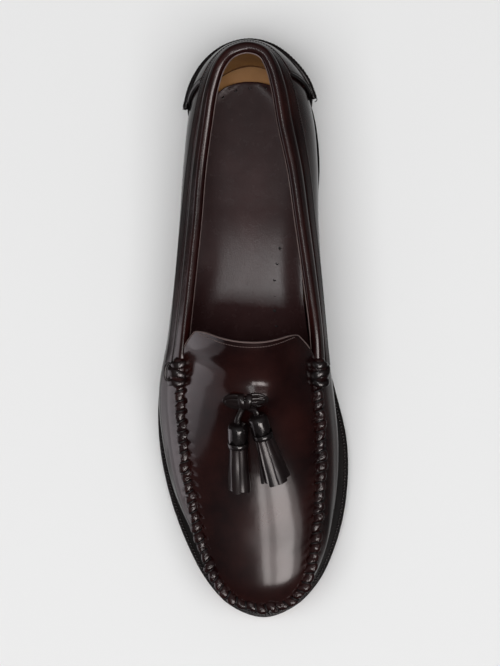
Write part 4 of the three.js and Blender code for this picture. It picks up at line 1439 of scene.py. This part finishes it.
def sock():
    """The sock on the insole board, dished up to the walls, with its pinholes as black dots of painted
    shade.
    """
    stations = spaced_stations(300, 1.35, LAST - 0.05)
    lateral = sole_inset(stations, show_at(stations) + SOCK_INSET)
    medial = sole_inset(RING - stations, show_at(RING - stations) + SOCK_INSET)
    over = np.linspace(0, 1, 110)
    plan = lateral[:, None] + (medial[:, None] - lateral[:, None]) * over[:, None]
    width = np.linalg.norm(lateral - medial, axis=-1)[:, None]
    bend = 1 - smoothstep(plan[..., 1], *SOCK_BEND)
    start = plan[:1, :, 1]
    plan[..., 1] += (SOCK_BACK - start + SOCK_ARC * (2 * over - 1) ** 2) * bend
    level = board_top(plan[..., 1])
    edge = np.minimum(over, 1 - over)[None] * width
    dish = SOCK_DISH * np.exp(-(edge / DISH_REACH) ** 2)
    high, place, along, inwards = ARCH_SWELL
    swell = high * np.exp(-((plan[..., 1] - place) / along) ** 2 - (edge / inwards) ** 2)
    rear = 1 - np.exp(-np.clip(plan[..., 1] - plan[:1, :, 1], 0, None) / 0.5)
    top = level + SOCK_THICKNESS * (0.25 + 0.75 * rear) + dish + swell
    bottom = level + 0.06 + dish * 0.9 - 0.2
    rings = np.concatenate([with_height(plan, top), with_height(plan, bottom)[:, ::-1]], 1)
    piece = loft("sock", rings, SOCK, closed=False)
    finish_piece(piece, ["insole"])
    turn = full_turn(16)
    ring = np.stack([np.cos(turn), np.sin(turn), 0 * turn], -1)
    pinhole_shade_dots = []
    for x, y in BACK_PINHOLES + MEDIAL_PINHOLES:
        k = np.argmin(np.hypot(plan[..., 0] - x, plan[..., 1] - y))
        centre = np.array([x, y, top.ravel()[k] - 0.02])
        rows = [centre + ring * (PINHOLE / 2 * reach) + (0, 0, rise)
                for reach, rise in PINHOLE_RINGS]
        # Each pinhole is a black dot of painted shade, for the dark inside of the hole.
        pinhole_shade_dots.append(loft("dot", np.stack(rows), TRIM, closed=False))
    finish_piece(joined("sock_pinholes_painted_shade", pinhole_shade_dots))


# Beefrolls

ROLL_STATION = 8.76
ROLL_LENGTH = 17.0
ROLL_WIDTH = 10.5
ROLL_DEPTH = 10.0
ROLL_OUT = 1.2
ROLL_UP = 1.0
ROLL_BLUNTNESS = 3.2
WRAP_PROUD = 0.25
WRAP_THICKNESS = 1.5
# Wraps: place along the roll, lean and width
ROLL_WRAPS = ((-0.30, 0.16, 3.4), (-0.02, -0.20, 3.9), (0.27, 0.13, 3.3))


def beefroll(side):
    """A stub of rolled leather at the seam's end, held by three broad uneven wraps."""
    outwards = 1.0 if side == "lateral" else -1.0
    station = ROLL_STATION if side == "lateral" else RING - ROLL_STATION
    axis = TOP_PATH.tangent(station / RING) * outwards
    centre = TOP_PATH(station / RING) + (outwards * ROLL_OUT, 0, ROLL_UP)
    place = np.linspace(-0.5, 0.5, 90)
    points = centre + axis * (place * ROLL_LENGTH)[:, None]
    ends = np.sqrt(np.clip(1 - np.abs(2 * place) ** ROLL_BLUNTNESS, 0.002, 1))
    uneven_side = 0.06 * np.sin(9 * place + 1.3) + 0.04 * np.sin(23 * place)
    scale = ends * (0.90 + uneven_side)
    body = sweep("beefroll_" + side, points, (0, 0, 1), oval(ROLL_WIDTH, ROLL_DEPTH, 28),
                 PUCKERED, scale=scale)
    finish_piece(body, ["beefroll_" + side])
    across = unit(np.cross(axis, (0, 0, 1)))
    tall = np.cross(across, axis)
    wraps = []
    turn = full_turn(56)
    for wrap, lean, width in ROLL_WRAPS:
        size = np.interp(wrap, place, scale)
        out = across * (np.cos(turn) * (ROLL_WIDTH / 2 * size + WRAP_PROUD))[:, None]
        high = tall * (np.sin(turn) * (ROLL_DEPTH / 2 * size + WRAP_PROUD))[:, None]
        drift = lean * outwards * 5.0 * np.cos(turn) + 0.35 * np.sin(3 * turn + 8 * wrap)
        ring = centre + axis * (wrap * ROLL_LENGTH + drift)[:, None] + out + high
        ups = unit(out + high)
        swell = 1 + 0.12 * np.sin(2 * turn + 5 * wrap)
        wraps.append(sweep("wrap", ring, ups, oval(width, WRAP_THICKNESS, 14, 0.75), TRIM,
                           closed=True, scale=swell))
    finish_piece(joined("beefroll_wraps_" + side, wraps))
    if side == "lateral":
        turn = full_turn(40)
        middle = centre + across * 5.6 + (0, 0, -0.6)
        ring = middle + axis * (np.cos(turn) * 4.4)[:, None] + across * (np.sin(turn) * 1.6)[:, None]
        loop = sweep("beefroll_loop", ring, tall, oval(1.5, 1.3, 10), TRIM, closed=True)
        finish_piece(loop)


# Tassels

HEAD_LENGTH = 13.4
HEAD_RADIUS = 4.9
FRINGE_LENGTH = 25.0
FRINGE_STRIPS = 9
STRIP_WIDTH = 3.0
STRIP_THICKNESS = 1.2
TASSEL_BAND = 1.06
TASSELS = {
    "lateral": dict(head=(0.53, 0.415), tip=(0.33, 0.395), flare=1.12, lift=0.05, seed=4),
    "medial": dict(head=(0.56, 0.54), tip=(0.36, 0.65), flare=1.35, lift=0.4, seed=9),
}


# Turned parts of a tassel: radius and height from the head's top
CORE_PROFILE = [(0.02, 0.3), (2.6, 0.3), (3.7, 1.2), (3.7, 3.0), (3.7, 10.0), (4.2, 12.8),
                (3.8, 14.0), (3.2, 32.0), (2.2, 33.0), (0.02, 33.0)]
COVER_PROFILE = [(0.9, 0.0), (2.9, 0.05), (4.3, 0.6), (4.95, 1.7), (5.15, 3.2), (5.15, 5.0),
                 (5.3, 7.0), (5.28, 7.35), (4.75, 7.35), (4.6, 5.0), (4.4, 2.2), (0.9, 0.7)]
BAND_PROFILE = [(4.2, 10.5), (5.15, 10.3), (5.42, 10.7), (5.45, 12.6), (5.2, 13.1), (4.2, 12.9)]


def tassel_axis(spot):
    start = apron_offset(*spot["head"], HEAD_RADIUS * TASSEL_BAND + spot["lift"])
    strip_radius = HEAD_RADIUS - STRIP_THICKNESS * 0.6
    spread = (spot["flare"] - 1) * 2.2 * strip_radius
    end_radius = strip_radius + spread + STRIP_THICKNESS / 2
    end = apron_offset(*spot["tip"], end_radius + spot["lift"])
    axis = unit(end - start)
    up = apron_normal(*spot["head"])
    return start, axis, up, strip_radius, spread


def turned_shell(name, profile, material, sides=48, teeth=0, bite=0.0, low=1.0):
    """A closed solid turned about an axis, from radius and height. teeth notch what is low."""
    profile = np.asarray(profile, float)
    turn = full_turn(sides)
    height = np.repeat(profile[None, :, 1], sides, 0)
    if teeth:
        zigzag = np.abs(((turn * teeth / (2 * math.pi)) % 1) * 2 - 1)
        height = height + np.where(height > low, bite * zigzag[:, None], 0.0)
    x = np.cos(turn)[:, None] * profile[:, 0]
    y = np.sin(turn)[:, None] * profile[:, 0]
    return loft(name, np.stack([x, height, y], -1), material)


def tassel(word):
    """A tassel in its own frame, +Y to its fringe's end, then turned to its place."""
    spot = TASSELS[word]
    start, axis, up, strip_radius, spread = tassel_axis(spot)
    pieces = [
        turned_shell("cover", COVER_PROFILE, CAP, sides=120, teeth=8, bite=2.6, low=6.5),
        turned_shell("band", BAND_PROFILE, CAP),
    ]
    # The core's near-black colour is painted shade in the notches of the cover.
    inside = turned_shell("core", CORE_PROFILE, CORE_PAINTED_SHADE)
    source = new_object("source", bpy.data.meshes.new("source"))
    strips = FRINGE.make("strips", source, STRIPS, strips=FRINGE_STRIPS,
                         radius=strip_radius * MM, length=FRINGE_LENGTH * MM,
                         width=STRIP_WIDTH * MM, thickness=STRIP_THICKNESS * MM,
                         spread=spread * MM, wave=0.5 * MM, seed=spot["seed"])
    strips.data.transform(Matrix.Rotation(math.radians(90), 4, "X"))
    strips.data.transform(Matrix.Translation((0, HEAD_LENGTH * 0.94 * MM, 0)))
    sideways = unit(np.cross(axis, up))
    top = np.cross(sideways, axis)
    place = Matrix([(*sideways, 0), (*axis, 0), (*top, 0), (0, 0, 0, 1)]).transposed()
    place.translation = Vector(to_frame([start])[0])
    head = joined("tassel_head_" + word, pieces)
    for obj in (head, inside):
        obj.data.transform(Matrix.Translation((0, HEEL_REST_ALONG * SHOE_LENGTH * MM, 0)))
    for obj, name in ((head, "tassel_head_" + word), (strips, "tassel_fringe_" + word),
                      (inside, "tassel_core_" + word)):
        obj.data.transform(place)
        obj.name = name
        finish_piece(obj, ["tassel_" + word], sharp=50)


# Bow

BOW_PLACE = (0.598, 0.468)
BOW_SPAN = 24.0
BOW_DEPTH = 7.6
LACE_WIDTH = 3.2
LACE_THICKNESS = 1.5
# A bow has a wide lower loop and a narrow upper one each side: height, width and length
BOW_LAYERS = ((0.0, 0.80, 1.0), (0.9, 0.26, 0.86))
# Its two wraps: shift and lean
BOW_WRAPS = ((-1.5, 0.9), (1.4, -0.7))
# A loop's curve: shares of its length and depth, skew and height
BOW_LOOP = [(0, -0.3, 0, 0.5), (0.35, -1, 0.35, 0.4), (0.78, -0.75, 0.35, -0.3), (1, 0, 0.35, -0.8),
            (0.78, 0.75, 0.35, -0.3), (0.35, 1, 0.35, 0.4), (0, 0.3, 0, 0.5)]


def bow():
    """The lace bow, its wraps and the two thongs that the tassels hang from."""
    up = apron_normal(*BOW_PLACE)
    base = apron_offset(*BOW_PLACE, LACE_WIDTH / 2 + 3 * CLEARANCE)
    right = np.array([1.0, 0, 0])
    down = -np.cross(right, up)

    def at(x, y, z):
        return base + right * x + down * y + up * z

    half = BOW_SPAN / 2 - LACE_WIDTH / 2
    deep = BOW_DEPTH / 2
    pieces = []
    for side in (-1, 1):
        for high, wide, long in BOW_LAYERS:
            loop = Path([at(side * half * long * out, deep * wide * low + side * skew, up_by + high)
                         for out, low, skew, up_by in BOW_LOOP])
            points = loop(np.linspace(0, 1, 90))
            section = oval(LACE_WIDTH * 0.95, LACE_THICKNESS, 16, 0.6)
            pieces.append(sweep("loop", points, up, section, TRIM))
    turn = full_turn(44)
    for shift, lean in BOW_WRAPS:
        ring = (at(shift, 0, 0.9) + down * (np.cos(turn) * deep)[:, None]
                + up * (np.sin(turn) * 2.5)[:, None] + right * (lean * np.cos(turn))[:, None])
        out = unit(down * np.cos(turn)[:, None] + up * np.sin(turn)[:, None])
        pieces.append(sweep("wrap", ring, out, oval(3.2, 1.5, 14, 0.7), TRIM,
                            closed=True))
    for word in TASSELS:
        start, axis, *_ = tassel_axis(TASSELS[word])
        side = np.sign(start[0] - base[0])
        thong = Path([at(side * 0.6, deep * 0.2, 0.9), at(side * 1.3, deep * 0.95, 0.8),
                      start - axis * 2.0, start + axis * 1.0])
        points = thong(np.linspace(0, 1, 40))
        pieces.append(sweep("thong", points, up, oval(LACE_WIDTH * 0.9, 1.8, 14, 0.7),
                            TRIM))
    finish_piece(joined("tassel_bow", pieces), ["tassel_bow"], sharp=60)


# Floor, lights and camera

def floor():
    bpy.ops.mesh.primitive_plane_add(size=8.0)
    plane = bpy.context.object
    plane.name = "floor"
    plane.data.materials.append(FLOOR)
    plane.visible_glossy = False


def aim(obj, target, up):
    """Turns an object's -Z to a target, with its +Y as near to up as it can be."""
    back = (obj.location - Vector(target)).normalized()
    right = Vector(up).cross(back).normalized()
    top = back.cross(right)
    obj.rotation_euler = Matrix((right, top, back)).transposed().to_euler()


def softbox(name, place, kept, size, power, tint, use):
    """A soft panel, seen by no camera. kept: the axes on which its target is at its own place."""
    lamp = bpy.data.lights.new(name, "AREA")
    lamp.shape = "RECTANGLE"
    lamp.size, lamp.size_y = size
    lamp.energy = power
    lamp.color = tint
    obj = new_object(name, lamp)
    obj.location = place
    obj.visible_camera = False
    obj.visible_diffuse = use == "light"
    obj.visible_glossy = use == "shine"
    aim(obj, [part * axis for part, axis in zip(place, kept)], (0, 1, 0))


SHOE_MIDDLE = (-0.001, 0.107, 0.045)
CAMERA_HEIGHT = 1.9
CAMERA_SIDE = -0.055
FRAME_HEIGHT = 0.346


def camera():
    """Looks straight down from high above the shoe, a little to its medial side."""
    lens = bpy.data.cameras.new("camera")
    lens.sensor_fit = "VERTICAL"
    lens.sensor_height = 24.0
    distance = CAMERA_HEIGHT - SHOE_MIDDLE[2]
    lens.lens = lens.sensor_height * distance / FRAME_HEIGHT
    obj = new_object("camera", lens)
    obj.location = (SHOE_MIDDLE[0] + CAMERA_SIDE, SHOE_MIDDLE[1], CAMERA_HEIGHT)
    aim(obj, SHOE_MIDDLE, (0, -1, 0))
    bpy.context.scene.camera = obj


# What the shoe mirrors of its surroundings: height of the direction, from 0 down to 1 up
SURROUNDINGS = ((0.0, 0.42), (0.07, 0.20), (0.14, 0.08), (0.22, 0.04), (0.48, 0.04), (0.62, 0.08),
                (0.80, 0.17), (0.93, 0.32), (1.0, 0.50))


def surroundings():
    """A world that is dark below and pale above, for the gloss."""
    world = bpy.data.worlds.new("studio")
    bpy.context.scene.world = world
    world.use_nodes = True
    graph = Graph(world.node_tree)
    direction = graph.node("ShaderNodeTexCoord")
    height = graph.node("ShaderNodeSeparateXYZ", {}, {0: direction}, output=2)
    share = 0.5 + 0.5 * height
    shade = graph.node("ShaderNodeValToRGB", {"stops": SURROUNDINGS}, {0: share})
    background = world.node_tree.nodes["Background"]
    world.node_tree.links.new(shade.socket, background.inputs["Color"])
    background.inputs["Strength"].default_value = 1.0


DOWN = (1, 1, 0)
INWARDS = (0, 1, 1)
WHITE = (1.0, 1.0, 1.0)
PINK = (1.0, 0.93, 0.91)
ROSE = (1.0, 0.92, 0.97)
# Columns: name, place, the way it faces, size, power, tint, and what it is for
PANELS = [
    ("overhead", (0, 0.38, 2.3), DOWN, (2.4, 1.2), 52.0, WHITE, "light"),
    ("sock shine", (0.24, 0.72, 2.3), DOWN, (0.3, 0.3), 14.0, WHITE, "shine"),
    ("front panel", (-0.62, 1.0, 1.3), DOWN, (0.6, 0.62), 14.0, PINK, "shine"),
    ("front panel edge", (-1.12, 1.0, 1.3), DOWN, (0.4, 0.62), 2.4, PINK, "shine"),
    ("front gap", (-0.2275, 1.0, 1.3), DOWN, (0.185, 0.62), 1.9, PINK, "shine"),
    ("front strip", (-0.05, 1.0, 1.3), DOWN, (0.17, 0.62), 3.6, PINK, "shine"),
    ("lateral panel", (1.55, 0.425, -0.375), INWARDS, (1.55, 0.75), 4.8, ROSE, "shine"),
    ("lateral panel, toe end", (1.55, 1.125, -0.375), INWARDS, (1.55, 0.65), 2.0, ROSE, "shine"),
    ("lateral panel, foot", (1.55, 0.75, -1.675), INWARDS, (1.05, 1.4), 2.2, ROSE, "shine"),
]


def lights():
    surroundings()
    for panel in PANELS:
        softbox(*panel)
    bpy.context.scene.view_settings.view_transform = "Standard"


upper_wall()
vamp()
moc_ridge()
linings()
collar()
counter()
back_seam()
tongue_piping()
outsole()
welt()
heel_pieces()
insole_board()
sock()
beefroll("lateral")
beefroll("medial")
tassel("lateral")
tassel("medial")
bow()
floor()
camera()
lights()
